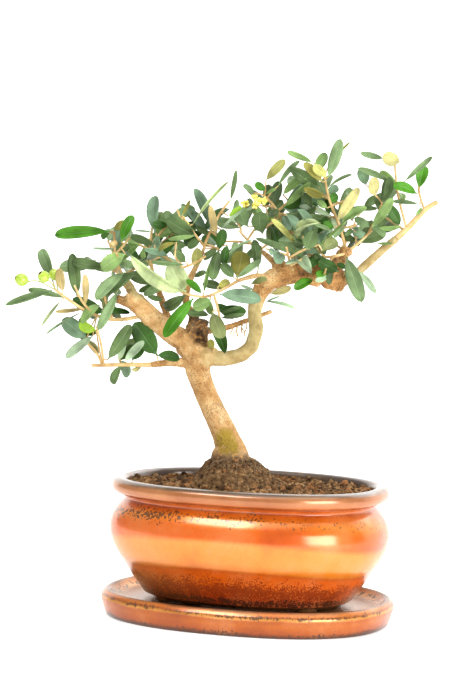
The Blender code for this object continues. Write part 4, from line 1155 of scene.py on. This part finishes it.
def growPairs(draws, route, pairs, grown, mass):
    # opposite leaves along a shoot, each pair turned a quarter from the last, with a pair at its tip
    along = (route[-1] - route[0]).normalized()
    side = along.orthogonal().normalized()
    turn = draws.uniform(0, math.pi)
    for node in range(pairs + 1):
        share = 1.0 if node == pairs else growth["firstPair"] + growth["pairsOver"] * node / max(pairs, 1)
        lean = growth["lean"] * (growth["tipLean"] if node == pairs else 1.0)
        for way in (0, math.pi):
            for attempt in range(growth["tries"]):
                spin = turn + way + draws.uniform(-0.3, 0.3) * (1 + attempt)
                tilt = lean + draws.uniform(-0.15, 0.25) * (1 + attempt / 3)
                length = growth["leafLength"] + draws.uniform(-1, 1) * growth["leafSpread"]
                length -= attempt * growth["shrink"]
                outward = Matrix.Rotation(spin, 3, along) @ side
                heading = math.cos(tilt) * along + math.sin(tilt) * outward
                root = alongRoute(route, share) - heading * (0.6 if node == pairs else 0.3)
                width = length * growth["leafSlim"] * draws.uniform(0.85, 1.2)
                leaf = (root, root + heading * length, facing(heading, draws), width, False)
                if keepsSight(leaf) and leafFits(mass, leaf):
                    grown["leaves"].append(leaf)
                    take(*leafShape(leaf, start=growth["bladeFrom"]), owner=mass + ":blades")
                    break
        turn += math.pi / 2


def growTwigs(name):
    mass = masses[name]
    draws = random.Random(mass["seed"])
    stem = smoothRoute([treePoint(*p) for p in mass["stem"]])
    take(*tubeShape(stem, [growth["stemRadius"][0] + growth["twigRoom"]] * len(stem)), owner=name)
    grown = {"twigs": [(stem, spread(list(growth["stemRadius"]), len(stem)))], "shoots": [], "leaves": [],
             "shown": [], "finer": [], "bearing": [], "fruit": [], "draws": draws}
    for share, tip, pairs in mass["shoots"]:
        root, tip = alongRoute(stem, share), treePoint(*tip)
        bend = Vector([draws.uniform(-1, 1) for _ in range(3)]) * 0.06 * (tip - root).length
        route = [root, root.lerp(tip, 0.5) + bend, tip]
        shape = tubeShape(route, [growth["shootRadius"][0] + growth["twigRoom"]] * 3)
        clear = isFree(*shape, ignored=(name,))
        grown["shoots"].append((route, pairs, clear))
        if clear:
            take(*shape, owner=name)
            grown["twigs"].append((route, list(growth["shootRadius"])))
    return grown


def growLeaves(name, grown):
    mass, draws = masses[name], grown["draws"]
    stem = grown["twigs"][0][0]
    for share, centre, radius in mass.get("fruit", []):
        root, centre = alongRoute(stem, share), treePoint(*centre)
        ball = tubeShape([centre - Vector((0, 0, radius + 1)), centre, centre + Vector((0, 0, radius + 1))],
                         [radius, radius + 1.5, radius], 6)
        stalk = tubeShape([root, centre], [growth["stalkRadius"] + growth["twigRoom"]] * 2)
        own = (name, name + ":blades")
        if isFree(*ball, ignored=own) and isFree(*stalk, ignored=own):
            grown["fruit"].append((root, centre, radius))
            take(*ball, owner=name)
            take(*stalk, owner=name)
    for route, pairs, clear in grown["shoots"]:
        if pairs and clear:
            before = len(grown["leaves"])
            growPairs(draws, route, pairs, grown, name)
            if len(grown["leaves"]) > before:
                grown["bearing"].append(route)
    carrying = [id(route) for route in grown["bearing"]]
    grown["twigs"] = [run for k, run in enumerate(grown["twigs"]) if k == 0 or id(run[0]) in carrying]


# Finer twigs, which only the looks have: short side shoots with smaller leaves between those of the solid
finer = {
    "perMass": 4, "tries": 12, "length": (7.0, 13.0), "radius": (0.55, 0.5, 0.42), "room": 0.15,
    "from": (0.3, 0.95), "lean": math.radians(46), "lift": 0.25, "bend": 0.08, "seed": 900,
    # each leaf's share of the twig's length and its lean
    "leaves": ((0.45, 0.95), (0.45, -0.95), (0.98, 0.5), (0.98, -0.5)),
    "leafLength": (9.0, 14.0), "leafSlim": (0.34, 0.44), "leafWider": 1.15,
}


def growFiner(name, grown):
    mass = masses[name]
    draws = random.Random(finer["seed"] + mass["seed"])
    low, high = (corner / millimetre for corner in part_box(name))
    carriers = [run for run, radii in grown["twigs"]]
    for _ in range(finer["tries"]):
        if len(grown["finer"]) >= finer["perMass"]:
            break
        carrier = draws.choice(carriers)
        root = alongRoute(carrier, draws.uniform(*finer["from"]))
        along = (carrier[-1] - carrier[0]).normalized()
        outward = Matrix.Rotation(draws.uniform(0, 6.3), 3, along) @ along.orthogonal().normalized()
        heading = math.cos(finer["lean"]) * along + math.sin(finer["lean"]) * outward
        heading = (heading + Vector((0, 0, finer["lift"]))).normalized()
        length = draws.uniform(*finer["length"])
        tip = root + heading * length
        bend = Vector([draws.uniform(-1, 1) for _ in range(3)]) * finer["bend"] * length
        route = [root, root.lerp(tip, 0.5) + bend, tip]
        tested = tubeShape([root.lerp(tip, 0.15), tip], [finer["radius"][0] + finer["room"]] * 2)
        if not isFree(*tested, ignored=(name,)):
            continue
        placed = []
        for share, lean in finer["leaves"]:
            size = draws.uniform(*finer["leafLength"])
            spin = draws.uniform(-0.5, 0.5) + (0 if share < 0.5 else 1.5)
            around = Matrix.Rotation(spin, 3, heading) @ outward
            across = (around - heading * around.dot(heading)).normalized()
            way = (math.cos(lean) * heading + math.sin(lean) * across).normalized()
            start, looks = alongRoute(route, share), facing(way, draws)
            width = size * draws.uniform(*finer["leafSlim"]) * finer["leafWider"]
            leaf = (start, start + way * size, looks, width, True)
            inside = all(low[k] - 1 < leaf[1][k] < high[k] + 1 for k in range(3))
            outer = leafShape(leaf, grow=finer["room"], start=growth["bladeFrom"])
            if inside and keepsSight(leaf) and isFree(*outer, ignored=(name,)):
                take(*leafShape(leaf, start=growth["bladeFrom"]), owner=name + ":blades")
                placed.append(leaf)
        if placed:
            grown["finer"].append((route, list(finer["radius"])))
            grown["leaves"] += placed


# Leaves: templates one unit long, of several bends, in colours that are dealt out a pair at a time
leafLook = {
    "rows": 14, "columns": (-0.5, -0.36, -0.2, -0.022, 0.022, 0.2, 0.36, 0.5), "petiole": 0.07,
    # arch, fold, sideways sweep, and how fast the outline widens from its base and narrows to its tip
    "bends": [(0.05, 0.1, 0.03, 0.62, 0.48), (0.1, 0.16, -0.05, 0.66, 0.42), (-0.04, 0.12, 0.0, 0.55, 0.5),
              (0.12, 0.2, 0.06, 0.7, 0.44), (0.02, 0.06, -0.03, 0.58, 0.46), (0.08, 0.26, 0.04, 0.6, 0.55)],
    "sweepMore": 1.6, "stem": 0.1, "point": 0.02, "ribDepth": 0.008, "ribHalf": 0.023, "roll": 0.02,
    "thickness": 0.02, "slim": 0.84, "seed": 77, "turnedOver": 0.12,
    # roughness and shine of each side, and how the rib's colour comes from the upper side's
    "finish": {"Upper": (0.42, 0.15), "Under": (0.6, 0.25), "Rib": (0.45, 0.45)}, "rib": (1.25, 0.02),
    # upper side, under side, and how often each is drawn for a pair; the shown leaves name theirs
    "kinds": {
        "grey": {"upper": (0.168, 0.256, 0.108), "under": (0.38, 0.47, 0.27), "often": 30},
        "dark": {"upper": (0.083, 0.138, 0.043), "under": (0.30, 0.38, 0.19), "often": 30},
        "blue": {"upper": (0.166, 0.266, 0.158), "under": (0.42, 0.48, 0.30), "often": 12},
        "deep": {"upper": (0.032, 0.095, 0.009), "under": (0.26, 0.38, 0.12), "often": 12},
        "mint": {"upper": (0.215, 0.34, 0.105), "under": (0.42, 0.53, 0.28), "often": 8},
        "sage": {"upper": (0.175, 0.205, 0.07), "under": (0.4, 0.45, 0.25), "often": 4},
        "bright": {"upper": (0.058, 0.212, 0.006), "under": (0.40, 0.58, 0.16), "often": 2},
        "silver": {"upper": (0.34, 0.45, 0.28), "under": (0.45, 0.55, 0.38), "often": 1},
        "lime": {"upper": (0.38, 0.62, 0.05), "under": (0.5, 0.7, 0.2), "often": 0},
        "pale": {"upper": (0.42, 0.5, 0.25), "under": (0.55, 0.62, 0.28), "often": 0},
        "khaki": {"upper": (0.38, 0.38, 0.11), "under": (0.48, 0.45, 0.2), "often": 1},
        "olive": {"upper": (0.25, 0.235, 0.045), "under": (0.4, 0.36, 0.13), "often": 1},
        "cream": {"upper": (0.44, 0.4, 0.16), "under": (0.7, 0.62, 0.28), "often": 0},
        "tan": {"upper": (0.43, 0.33, 0.135), "under": (0.5, 0.38, 0.16), "often": 1}},
}


def leafTemplates():
    # a grid narrowed to the leaf's outline, folded at its rib, arched, swept aside and given an under side
    made = []
    columns, petiole, aside = leafLook["columns"], leafLook["petiole"], leafLook["sweepMore"]
    for k, (arch, fold, sweep, base, tip) in enumerate(leafLook["bends"]):
        fullest = base / (base + tip)
        peak = 1 / (fullest ** base * (1 - fullest) ** tip)
        bm = bmesh.new()
        bmesh.ops.create_grid(bm, x_segments=leafLook["rows"], y_segments=len(columns) - 1, size=0.5)
        for v in bm.verts:
            # rows lie closer together towards both ends
            share = 0.5 - 0.5 * math.cos(math.pi * (v.co.x + 0.5))
            share = 0.5 * (share + v.co.x + 0.5)
            column = columns[round((v.co.y + 0.5) * (len(columns) - 1))]
            blade = max(0.0, (share - petiole) / (1 - petiole))
            half = peak * blade ** base * (1 - blade) ** tip if 0 < blade < 1 else 0.0
            across = column * max(half, leafLook["stem"] if share < 0.99 else leafLook["point"])
            ribbed = leafLook["ribDepth"] if abs(column) < 0.03 else 0.0
            rolled = leafLook["roll"] * half * (2 * abs(column)) ** 4
            bowed = 1 - (2 * share - 1) ** 2
            up = fold * abs(across) + arch * bowed - ribbed - rolled
            v.co = (share, across + sweep * bowed * aside, up)
        for f in bm.faces:
            off = [v.co.y - sweep * (1 - (2 * v.co.x - 1) ** 2) * aside for v in f.verts]
            onRib = all(abs(y) < leafLook["ribHalf"] for y in off)
            f.material_index = 2 if onRib or f.calc_center_median().x < petiole else 0
            f.smooth = True
        bmesh.ops.remove_doubles(bm, verts=bm.verts, dist=0.0008)
        if sum(f.normal.z for f in bm.faces) < 0:
            bmesh.ops.reverse_faces(bm, faces=bm.faces)
        holder = addObject("leaf", meshFrom(bm, "leaf%d" % k))
        thicken = holder.modifiers.new("thicken", "SOLIDIFY")
        thicken.thickness = leafLook["thickness"]
        thicken.offset = -1
        thicken.material_offset = 1
        thicken.material_offset_rim = 1
        solid = settled(holder)
        solid.name = "thickLeaf%d" % k
        made.append(solid)
    return made


# What all leaf colours share. A noise is its scale and its detail; the lighter tone is a share of the colour
# and what is added to it.
leafy = {
    "broad": (75.0, 2.0), "stops": (0.35, 0.65), "lighter": (1.4, 0.015), "darker": 0.6,
    "spots": (1500.0, 120.0, 0.2, 0.08), "spotShare": 0.5,
    "relief": (900.0, 3.0), "bump": (0.2, 0.0003),
    "sockets": {"Subsurface Weight": 0.1, "Subsurface Radius": (0.4, 0.8, 0.2), "Subsurface Scale": 0.001},
}


def leafMaterial(name, colour, roughness, shine):
    material, tree, shader, place = newMaterial(name, colour, roughness)
    more, added = leafy["lighter"]
    lighter = tuple(min(1.0, c * more + added) for c in colour)
    darker = tuple(c * leafy["darker"] for c in colour)
    tone = addRamp(tree, addNoise(tree, place, *leafy["broad"]), list(zip(leafy["stops"], (darker, lighter))))
    spots = addSpeckle(tree, place, *leafy["spots"])
    mottled = addMix(tree, addProduct(tree, spots, leafy["spotShare"]), tone, darker)
    tree.links.new(mottled, shader.inputs["Base Color"])
    setSockets(shader, leafy["sockets"])
    setSockets(shader, {"Specular IOR Level": shine})
    addBump(tree, shader, addNoise(tree, place, *leafy["relief"]), *leafy["bump"])
    return material


def leafMatrix(leaf, draws, turnedOver):
    root, tip, normal, width, full = leaf
    along = (tip - root).normalized()
    side = along.cross(normal).normalized()
    if draws.random() < turnedOver:
        side = -side
    turned = Matrix((along, -side, along.cross(-side))).transposed().to_4x4()
    length = (tip - root).length
    wide = width * (1.0 if full else leafLook["slim"])
    return Matrix.Translation(root) @ turned @ Matrix.Diagonal((length, wide, length, 1))


def makeFoliage(crown):
    templates = leafTemplates()
    draws = random.Random(leafLook["seed"])
    kinds = leafLook["kinds"]
    dealt = {kind: [] for kind in kinds}
    often = [spec["often"] for spec in kinds.values()]
    for name, grown in crown.items():
        for leaf, kind in grown["shown"]:
            dealt[kind].append((draws.choice(templates), leafMatrix(leaf, draws, 0.0)))
        for k, leaf in enumerate(grown["leaves"]):
            if k % 2 == 0:
                kind = draws.choices(list(kinds), often)[0]
            dealt[kind].append((draws.choice(templates), leafMatrix(leaf, draws, leafLook["turnedOver"])))
    for kind, placements in dealt.items():
        if placements:
            upper, under = kinds[kind]["upper"], kinds[kind]["under"]
            more, added = leafLook["rib"]
            rib = tuple(c * more + added for c in upper)
            finish = [leafMaterial(kind + "Leaf" + side, colour, *leafLook["finish"][side])
                      for side, colour in (("Upper", upper), ("Under", under), ("Rib", rib))]
            finishPiece("leaves_" + kind, joinCopies(kind + "Leaves", placements), finish)
    print("leaves made:", {kind: len(placements) for kind, placements in dealt.items()})


# Twigs: how much slimmer they are than the solids', how much thicker the small things on the limbs are than
# their listed radii, and the surface of both
twigLook = {
    "slim": 0.8, "bitSwell": 1.2, "colour": (0.5, 0.36, 0.18), "roughness": 0.7, "tone": (160.0, 4.0),
    "stops": [(0.3, (0.36, 0.2, 0.06)), (0.5, (0.62, 0.42, 0.17)), (0.7, (0.78, 0.6, 0.28))],
    "relief": (1200.0, 4.0), "bump": (0.5, 0.0004),
}


def twigMaterial():
    material, tree, shader, place = newMaterial("twigBark", twigLook["colour"], twigLook["roughness"])
    colour = addRamp(tree, addNoise(tree, place, *twigLook["tone"]), twigLook["stops"])
    tree.links.new(colour, shader.inputs["Base Color"])
    addBump(tree, shader, addNoise(tree, place, *twigLook["relief"]), *twigLook["bump"])
    return material


# Small things on the limbs: rootlets that hang from the dry twig, a cut shoot and a thin cross twig
bits = [
    ([(-12, 159.5, 8), (-12.6, 157, 7), (-14, 154.6, 7)], 0.36),
    ([(-9.5, 160.5, 8), (-10, 157, 7), (-9.4, 153.6, 7)], 0.4),
    ([(-6.5, 161.5, 8), (-7.4, 158.6, 7), (-7, 155.4, 7)], 0.36),
    ([(-5, 162, 8), (-4.6, 159, 7), (-5.4, 156.4, 7)], 0.3),
    ([(-9.7, 157.2, 7), (-11.5, 155.8, 7), (-12.2, 153.4, 7)], 0.28),
    ([(-7.2, 158.4, 7), (-5.8, 156.6, 7), (-5.6, 154, 7)], 0.28),
    ([(-77, 203.6, -3), (-79.6, 201.8, -5)], 1.5),
    ([(-86.5, 156, -5), (-84.8, 148, -6), (-82.6, 137, -7)], 0.36),
]


def makeTwigs(crown):
    runs = []
    for name, grown in crown.items():
        for k, (route, radii) in enumerate(grown["twigs"] + grown["finer"]):
            finerRoute = smoothRoute(route, 3)
            slim = twigLook["slim"] * (masses[name].get("stout", 1.0) if k == 0 else 1.0)
            runs.append((finerRoute, [slim * radius for radius in spread(radii, len(finerRoute))]))
    for points, radius in bits:
        route = smoothRoute([treePoint(*p) for p in points], 4)
        runs.append((route, [twigLook["bitSwell"] * radius] * len(route)))
    finishPiece("twigs", tubes("twigs", runs, 1), [twigMaterial()], list(masses))
    print("twigs made:", len(runs))


# Olives: the skin's ramp, the pale spots on it, the dark spot at the tip and the stalk
olive = {
    "least": 2, "swell": 1.2, "around": 24, "along": 16, "nipple": 0.1, "tipFrom": 0.985, "sag": 0.1,
    "tones": [(0.35, (0.24, 0.4, 0.012)), (0.65, (0.4, 0.58, 0.025))], "roughness": 0.28, "coat": 0.3,
    "spots": (1800.0, 200.0, 0.3, 0.08), "spotColour": (0.55, 0.68, 0.12),
    "tip": [(0.4, (0.05, 0.04, 0.008)), (0.7, (0.12, 0.1, 0.02))],
    "stalk": [(0.3, (0.35, 0.36, 0.06)), (0.7, (0.56, 0.6, 0.16))], "stalkRoughness": 0.5,
    "stalkRadius": 0.36, "stalkEnd": 1.8,
}

# Flower buds, in small heads: across, up, back and radius of each head
flowers = {
    "heads": [
        (-7.5, 226.5, -3, 2.3), (-2.5, 230.5, -2, 2.0), (-1, 228, -4, 2.4), (2.5, 228.5, -3, 2.2),
        (-2, 225.5, -3, 1.9), (-41, 217.5, -2, 1.3), (-39, 215, -2, 1.5)],
    "buds": 11, "seed": 61, "out": 0.62, "size": (0.3, 0.46), "longer": 1.3, "brownShare": 0.2,
    "yellow": [(0.35, (0.72, 0.7, 0.05)), (0.6, (0.95, 0.9, 0.32))],
    "brown": [(0.35, (0.4, 0.28, 0.02)), (0.65, (0.5, 0.38, 0.06))],
}


def oliveSkin():
    material, tree, shader, place = newMaterial("oliveSkin", olive["tones"][0][1], olive["roughness"])
    pale = addSpeckle(tree, place, *olive["spots"])
    tone = addRamp(tree, addNoise(tree, place, 150.0), olive["tones"])
    tree.links.new(addMix(tree, pale, tone, olive["spotColour"]), shader.inputs["Base Color"])
    setSockets(shader, {"Coat Weight": olive["coat"]})
    return material


def stalkMaterial():
    plain = (0.45, 0.5, 0.1)
    material, tree, shader, place = newMaterial("oliveStalk", plain, olive["stalkRoughness"])
    tone = addRamp(tree, addNoise(tree, place, 300.0), olive["stalk"])
    tree.links.new(tone, shader.inputs["Base Color"])
    return material


def makeFruit(crown):
    bm = bmesh.new()
    stalks = []
    for root, centre, radius in (fruit for grown in crown.values() for fruit in grown["fruit"]):
        if radius < olive["least"]:
            continue
        radius *= olive["swell"]
        away = (centre - root).normalized()
        turned = away.to_track_quat("Z", "Y").to_matrix().to_4x4()
        made = bmesh.ops.create_uvsphere(bm, u_segments=olive["around"], v_segments=olive["along"],
                                         radius=radius)
        for v in made["verts"]:
            v.co.z += olive["nipple"] * radius * max(0.0, v.co.z / radius) ** 8
            for f in v.link_faces:
                f.material_index = 1 if f.calc_center_median().z > olive["tipFrom"] * radius else 0
        bmesh.ops.transform(bm, verts=made["verts"], matrix=Matrix.Translation(centre) @ turned)
        sag = root.lerp(centre, 0.5) + Vector((0, 0, olive["sag"] * (centre - root).length))
        route = smoothRoute([root, sag, centre - away * radius * 0.95], 4)
        thick = olive["stalkRadius"]
        stalks.append((route, [thick] * (len(route) - 1) + [thick * olive["stalkEnd"]]))
    mesh = meshFrom(bm, "olives")
    mesh.shade_smooth()
    finishPiece("olives", mesh, [oliveSkin(), soilMaterial("oliveTip", olive["tip"])])
    finishPiece("olive_stalks", tubes("oliveStalks", stalks, 1), [stalkMaterial()])
    print("olives made:", len(stalks))


def makeFlowers():
    draws = random.Random(flowers["seed"])
    bm = bmesh.new()
    for across, up, back, radius in flowers["heads"]:
        for bud in range(flowers["buds"]):
            way = Vector([draws.gauss(0, 1) for _ in range(3)]).normalized()
            centre = treePoint(across, up, back) + way * radius * flowers["out"]
            turn = way.to_track_quat("Z", "Y").to_matrix().to_4x4()
            size = radius * draws.uniform(*flowers["size"])
            shape = Matrix.Diagonal((size, size, size * flowers["longer"], 1))
            shape = Matrix.Translation(centre) @ turn @ shape
            made = bmesh.ops.create_icosphere(bm, subdivisions=2, radius=1.0, matrix=shape)
            kind = 1 if draws.random() < flowers["brownShare"] else 0
            for v in made["verts"]:
                for f in v.link_faces:
                    f.material_index = kind
    mesh = meshFrom(bm, "flowerBuds")
    mesh.shade_smooth()
    finish = [soilMaterial("budYellow", flowers["yellow"]), soilMaterial("budBrown", flowers["brown"])]
    finishPiece("flower_buds", mesh, finish)
    print("flower heads made:", len(flowers["heads"]))


# Bark: the limbs' tubes melted into one skin, then knobbed, wrinkled and pitted
bark = {
    "voxel": 0.5, "smooth": 3, "lengthen": 1.5, "roundness": 6,
    # knobs: across, up, back and radius
    "knobs": [
        (-36, 148, 0, 7.6), (-30, 141, -1, 7.4), (-26, 145, -2, 5.8), (-12, 88, 0, 10.0), (-66, 172, -2, 5.9),
        (44, 187, 0, 6.2), (38, 191, -1, 5.6), (10, 186, 0, 5.8), (48, 202, -1, 3.3), (31, 187, -2, 5.4),
        (13, 194.5, 1, 3.2), (-57, 163, -2, 5.9), (5, 182, -1, 5.2)],
    "knobDepth": 0.85,
    # where the bark is rough, dead, hollow or mossy: across, up, back, radius and weight
    "rough": [
        (-33, 147, 0, 15.0, 0.9), (-66, 172, -2, 8.0, 0.6), (30, 190, 0, 28.0, 0.85),
        (-11, 89, 0, 9.0, 0.35)],
    "dead": [(-30, 161, 0, 10.0, 1.0), (-29, 155, -5, 7.0, 1.0)],
    "hollow": [(-29, 156, -6, 6.0, 1.0)],
    "moss": [(-14.6, 98.5, -6.5, 6.5, 0.7), (-13.2, 95, -7.5, 6.5, 1.0), (-12, 91.5, -9, 5.5, 1.0)],
    # a cut end: across, up, back and radius
    "cut": (-73.4, 173.2, -5.2, 2.5),
    "base": 0.1, "samples": 6,
    # relief: the scale of its noise, its height, and what it is drawn out or added to by
    "knobbed": {"scale": 0.16, "height": 1.8},
    "wrinkled": {"scale": 0.9, "drawn": 0.35, "height": 0.34, "least": 0.4, "dead": 1.6},
    "fibrous": {"scale": 1.6, "drawn": 0.3, "height": 0.7},
    "hollowDepth": 3.0,
    # how old the bark of each limb looks: 0 smooth and olive, 0.5 light tan, 1 rusty
    "ages": {"trunk": 0.55, "left_bough": 0.5, "left_stub": 0.65, "left_riser": 0.0, "left_low_bough": 0.45,
             "right_low_bough": 0.12, "right_rising_bough": 0.0, "right_head": 0.8, "right_fork": 0.6,
             "right_arm": 0.1, "dry_twig": 0.68, "back_left_bough": 0.7, "centre_bough": 0.45,
             "right_back_bough": 0.5, "centre_arm": 0.4, "back_bough": 0.5, "back_right_bough": 0.5,
             "back_low_bough": 0.5},
}

# The bark's surface. A noise is its scale, its detail and its roughness; a speckle is the size of its spots
# and drifts, its amount and its softness. From gives the ages where a ramp or the specks begin and are full.
surface = {
    "plain": (0.55, 0.38, 0.2), "roughness": 0.75, "tone": (120.0, 6.0, 0.62),
    "smooth": [(0.32, (0.24, 0.165, 0.05)), (0.5, (0.42, 0.325, 0.125)), (0.68, (0.58, 0.48, 0.24))],
    "tan": [(0.36, (0.42, 0.21, 0.06)), (0.48, (0.58, 0.355, 0.135)), (0.64, (0.72, 0.5, 0.25))],
    "rusty": [(0.36, (0.1, 0.04, 0.01)), (0.47, (0.42, 0.2, 0.05)), (0.62, (0.68, 0.42, 0.15))],
    "tanFrom": (0.05, 0.5), "rustyFrom": (0.5, 1.0),
    "patches": {"speckle": (260.0, 60.0, 0.31, 0.1), "share": 0.6, "colour": (0.45, 0.2, 0.05)},
    "moss": {"speckle": (420.0, 90.0, 0.62, 0.35), "share": 1.6, "colour": (0.32, 0.21, 0.01)},
    "specks": {"speckle": (1250.0, 100.0, 0.2, 0.05), "share": 0.7, "colour": (0.14, 0.06, 0.018),
               "from": (0.1, 0.7)},
    "crumbled": (420.0, 4.0, 0.6),
    "dead": [(0.42, (0.01, 0.005, 0.002)), (0.52, (0.11, 0.045, 0.01)), (0.64, (0.46, 0.22, 0.06))],
    "relief": (800.0, 6.0, 0.65), "pits": -0.4, "leastRelief": 0.25, "bump": (0.5, 0.0007),
}


def nearness(place, spots):
    # 1 at a spot, falling to 0 at its radius, times its weight: the most of all spots
    most = 0.0
    for across, up, back, radius, weight in spots:
        away = (place - treePoint(across, up, back)).length / radius
        most = max(most, weight * max(0.0, 1 - away * away) ** 0.5 if away < 1 else 0.0)
    return most


def barkMaterial():
    material, tree, shader, place = newMaterial("oliveBark", surface["plain"], surface["roughness"])
    masks = tree.nodes.new("ShaderNodeVertexColor")
    masks.layer_name = "barkMasks"
    split = tree.nodes.new("ShaderNodeSeparateColor")
    tree.links.new(masks.outputs["Color"], split.inputs[0])
    age, dead, moss = (split.outputs[name] for name in ("Red", "Green", "Blue"))
    patches, mossy, specks = surface["patches"], surface["moss"], surface["specks"]
    tone = addNoise(tree, place, *surface["tone"])
    smooth, tan, rusty = (addRamp(tree, tone, surface[name]) for name in ("smooth", "tan", "rusty"))
    colour = addMix(tree, addRange(tree, age, *surface["tanFrom"]), smooth, tan)
    colour = addMix(tree, addRange(tree, age, *surface["rustyFrom"]), colour, rusty)
    older = addProduct(tree, age, patches["share"])
    share = addProduct(tree, addSpeckle(tree, place, *patches["speckle"]), older)
    colour = addMix(tree, share, colour, patches["colour"])
    share = addProduct(tree, addSpeckle(tree, place, *mossy["speckle"]), moss)
    colour = addMix(tree, addProduct(tree, share, mossy["share"], clamp=True), colour, mossy["colour"])
    pits = addProduct(tree, addSpeckle(tree, place, *specks["speckle"]), addRange(tree, age, *specks["from"]))
    colour = addMix(tree, addProduct(tree, pits, specks["share"], clamp=True), colour, specks["colour"])
    crumbled = addNoise(tree, place, *surface["crumbled"])
    colour = addMix(tree, dead, colour, addRamp(tree, crumbled, surface["dead"]))
    tree.links.new(colour, shader.inputs["Base Color"])
    pitted = addProduct(tree, pits, surface["pits"])
    relief = addMath(tree, "ADD", addNoise(tree, place, *surface["relief"]), pitted)
    relief = addProduct(tree, relief, addMath(tree, "ADD", age, surface["leastRelief"]))
    addBump(tree, shader, relief, *surface["bump"])
    return material


def agedLimbs():
    # points along the limbs, to look up how old the bark is at a place
    places = []
    for name in limbs:
        route, radii = limbRun(name)
        for start, end in zip(route, route[1:]):
            places += [(start.lerp(end, step / 4), bark["ages"][name]) for step in range(5)]
    tree = KDTree(len(places))
    for k, (place, age) in enumerate(places):
        tree.insert(place, k)
    tree.balance()
    return tree, [age for place, age in places]


def barkLift(place, rough, dead):
    # how far the skin stands out at a place: knobs, wrinkles and the fibres of dead wood, less the hollow
    knobbed, wrinkled, fibrous = bark["knobbed"], bark["wrinkled"], bark["fibrous"]
    knobs = noise.fractal(place * knobbed["scale"], 1.0, 2.0, 3) * knobbed["height"] * rough
    drawn = Vector((place.x, place.y, place.z * wrinkled["drawn"]))
    wrinkle = noise.fractal(drawn * wrinkled["scale"], 1.0, 2.0, 3) * wrinkled["height"]
    wrinkle *= wrinkled["least"] + rough + wrinkled["dead"] * dead
    fine = fibrous["scale"]
    fibre = noise.noise(Vector((place.x * fine, place.y * fine, place.z * fibrous["drawn"])))
    fibre = fibre * fibrous["height"] * dead
    return knobs + wrinkle + fibre - bark["hollowDepth"] * nearness(place, bark["hollow"])


def barkSkin():
    # the limbs' tubes, lengthened into what carries them, and the knobs, melted into one mesh
    runs = []
    for name in limbs:
        route, radii = limbRun(name)
        if name != "trunk":
            route = [route[0] - (route[1] - route[0]).normalized() * bark["lengthen"]] + route
            radii = [radii[0]] + radii
        runs.append((smoothRoute(route, 3), spread(radii, 3 * (len(route) - 1) + 1)))
    skin = tubes("barkTubes", runs, bark["roundness"])
    bm = bmesh.new()
    bm.from_mesh(skin)
    for across, up, back, radius in bark["knobs"]:
        knob = Matrix.Translation(treePoint(across, up, back)) @ Matrix.Diagonal((1, 1, bark["knobDepth"], 1))
        bmesh.ops.create_icosphere(bm, subdivisions=3, radius=radius, matrix=knob)
    bm.to_mesh(skin)
    bm.free()
    holder = addObject("barkHolder", skin)
    melt = holder.modifiers.new("melt", "REMESH")
    melt.mode = "VOXEL"
    melt.voxel_size = bark["voxel"]
    return settled(holder)


def makeBark():
    bm = bmesh.new()
    bm.from_mesh(barkSkin())
    for _ in range(bark["smooth"]):
        bmesh.ops.smooth_vert(bm, verts=bm.verts, factor=0.5, use_axis_x=True, use_axis_y=True,
                              use_axis_z=True)
    bm.normal_update()
    masks = bm.verts.layers.float_color.new("barkMasks")
    ground = limbs["trunk"]["route"][0][1]
    ageTree, ages = agedLimbs()
    moved = []
    for v in bm.verts:
        rough = max(bark["base"], nearness(v.co, bark["rough"]))
        dead = nearness(v.co, bark["dead"])
        moss = nearness(v.co, bark["moss"])
        near = ageTree.find_n(v.co, bark["samples"])
        age = sum(ages[k] for place, k, away in near) / len(near)
        # the foot is dark where it meets the soil, and so is a ring inside the cut end's edge
        footed = 0.85 * min(1.0, max(0.0, (ground + 6.5 - v.co.z) / 4))
        away = (v.co - treePoint(*bark["cut"][:3])).length / bark["cut"][3]
        ring = 0.75 * max(0.0, 1 - abs(away - 0.75) * 5)
        old = min(1.0, age + 0.25 * (rough - bark["base"]))
        v[masks] = (old, max(dead, footed, ring), moss * (1 - footed), 1)
        grounded = min(1.0, max(0.0, (v.co.z - ground) / 3 + 0.2))
        moved.append((v, v.normal * barkLift(v.co, rough, dead) * grounded))
    for v, shift in moved:
        v.co += shift
        v.co.z = max(v.co.z, ground)
    mesh = meshFrom(bm, "bark")
    mesh.shade_smooth()
    finishPiece("bark", mesh, [barkMaterial()], list(limbs))
    print("bark made with", len(mesh.polygons), "faces")


def growCrown():
    limbRuns = [limbRun(name) for name in limbs]
    for name, (route, radii) in zip(limbs, limbRuns):
        take(*tubeShape(route, [r + growth["twigRoom"] for r in radii], limbs[name]["sides"]), owner=name)
    crown = {name: growTwigs(name) for name in masses}
    for name, grown in crown.items():
        growShown(name, grown, limbRuns)
    for name, grown in crown.items():
        growLeaves(name, grown)
    for name, grown in crown.items():
        growFiner(name, grown)
    count = sum(len(grown["leaves"]) + len(grown["shown"]) for grown in crown.values())
    print("crown grown with", count, "leaves")
    return crown


def main():
    placeCamera()
    lightStudio()
    layFloor()
    makePottery()
    makeSoil()
    makeBark()
    crown = growCrown()
    makeTwigs(crown)
    makeFoliage(crown)
    makeFruit(crown)
    makeFlowers()


main()
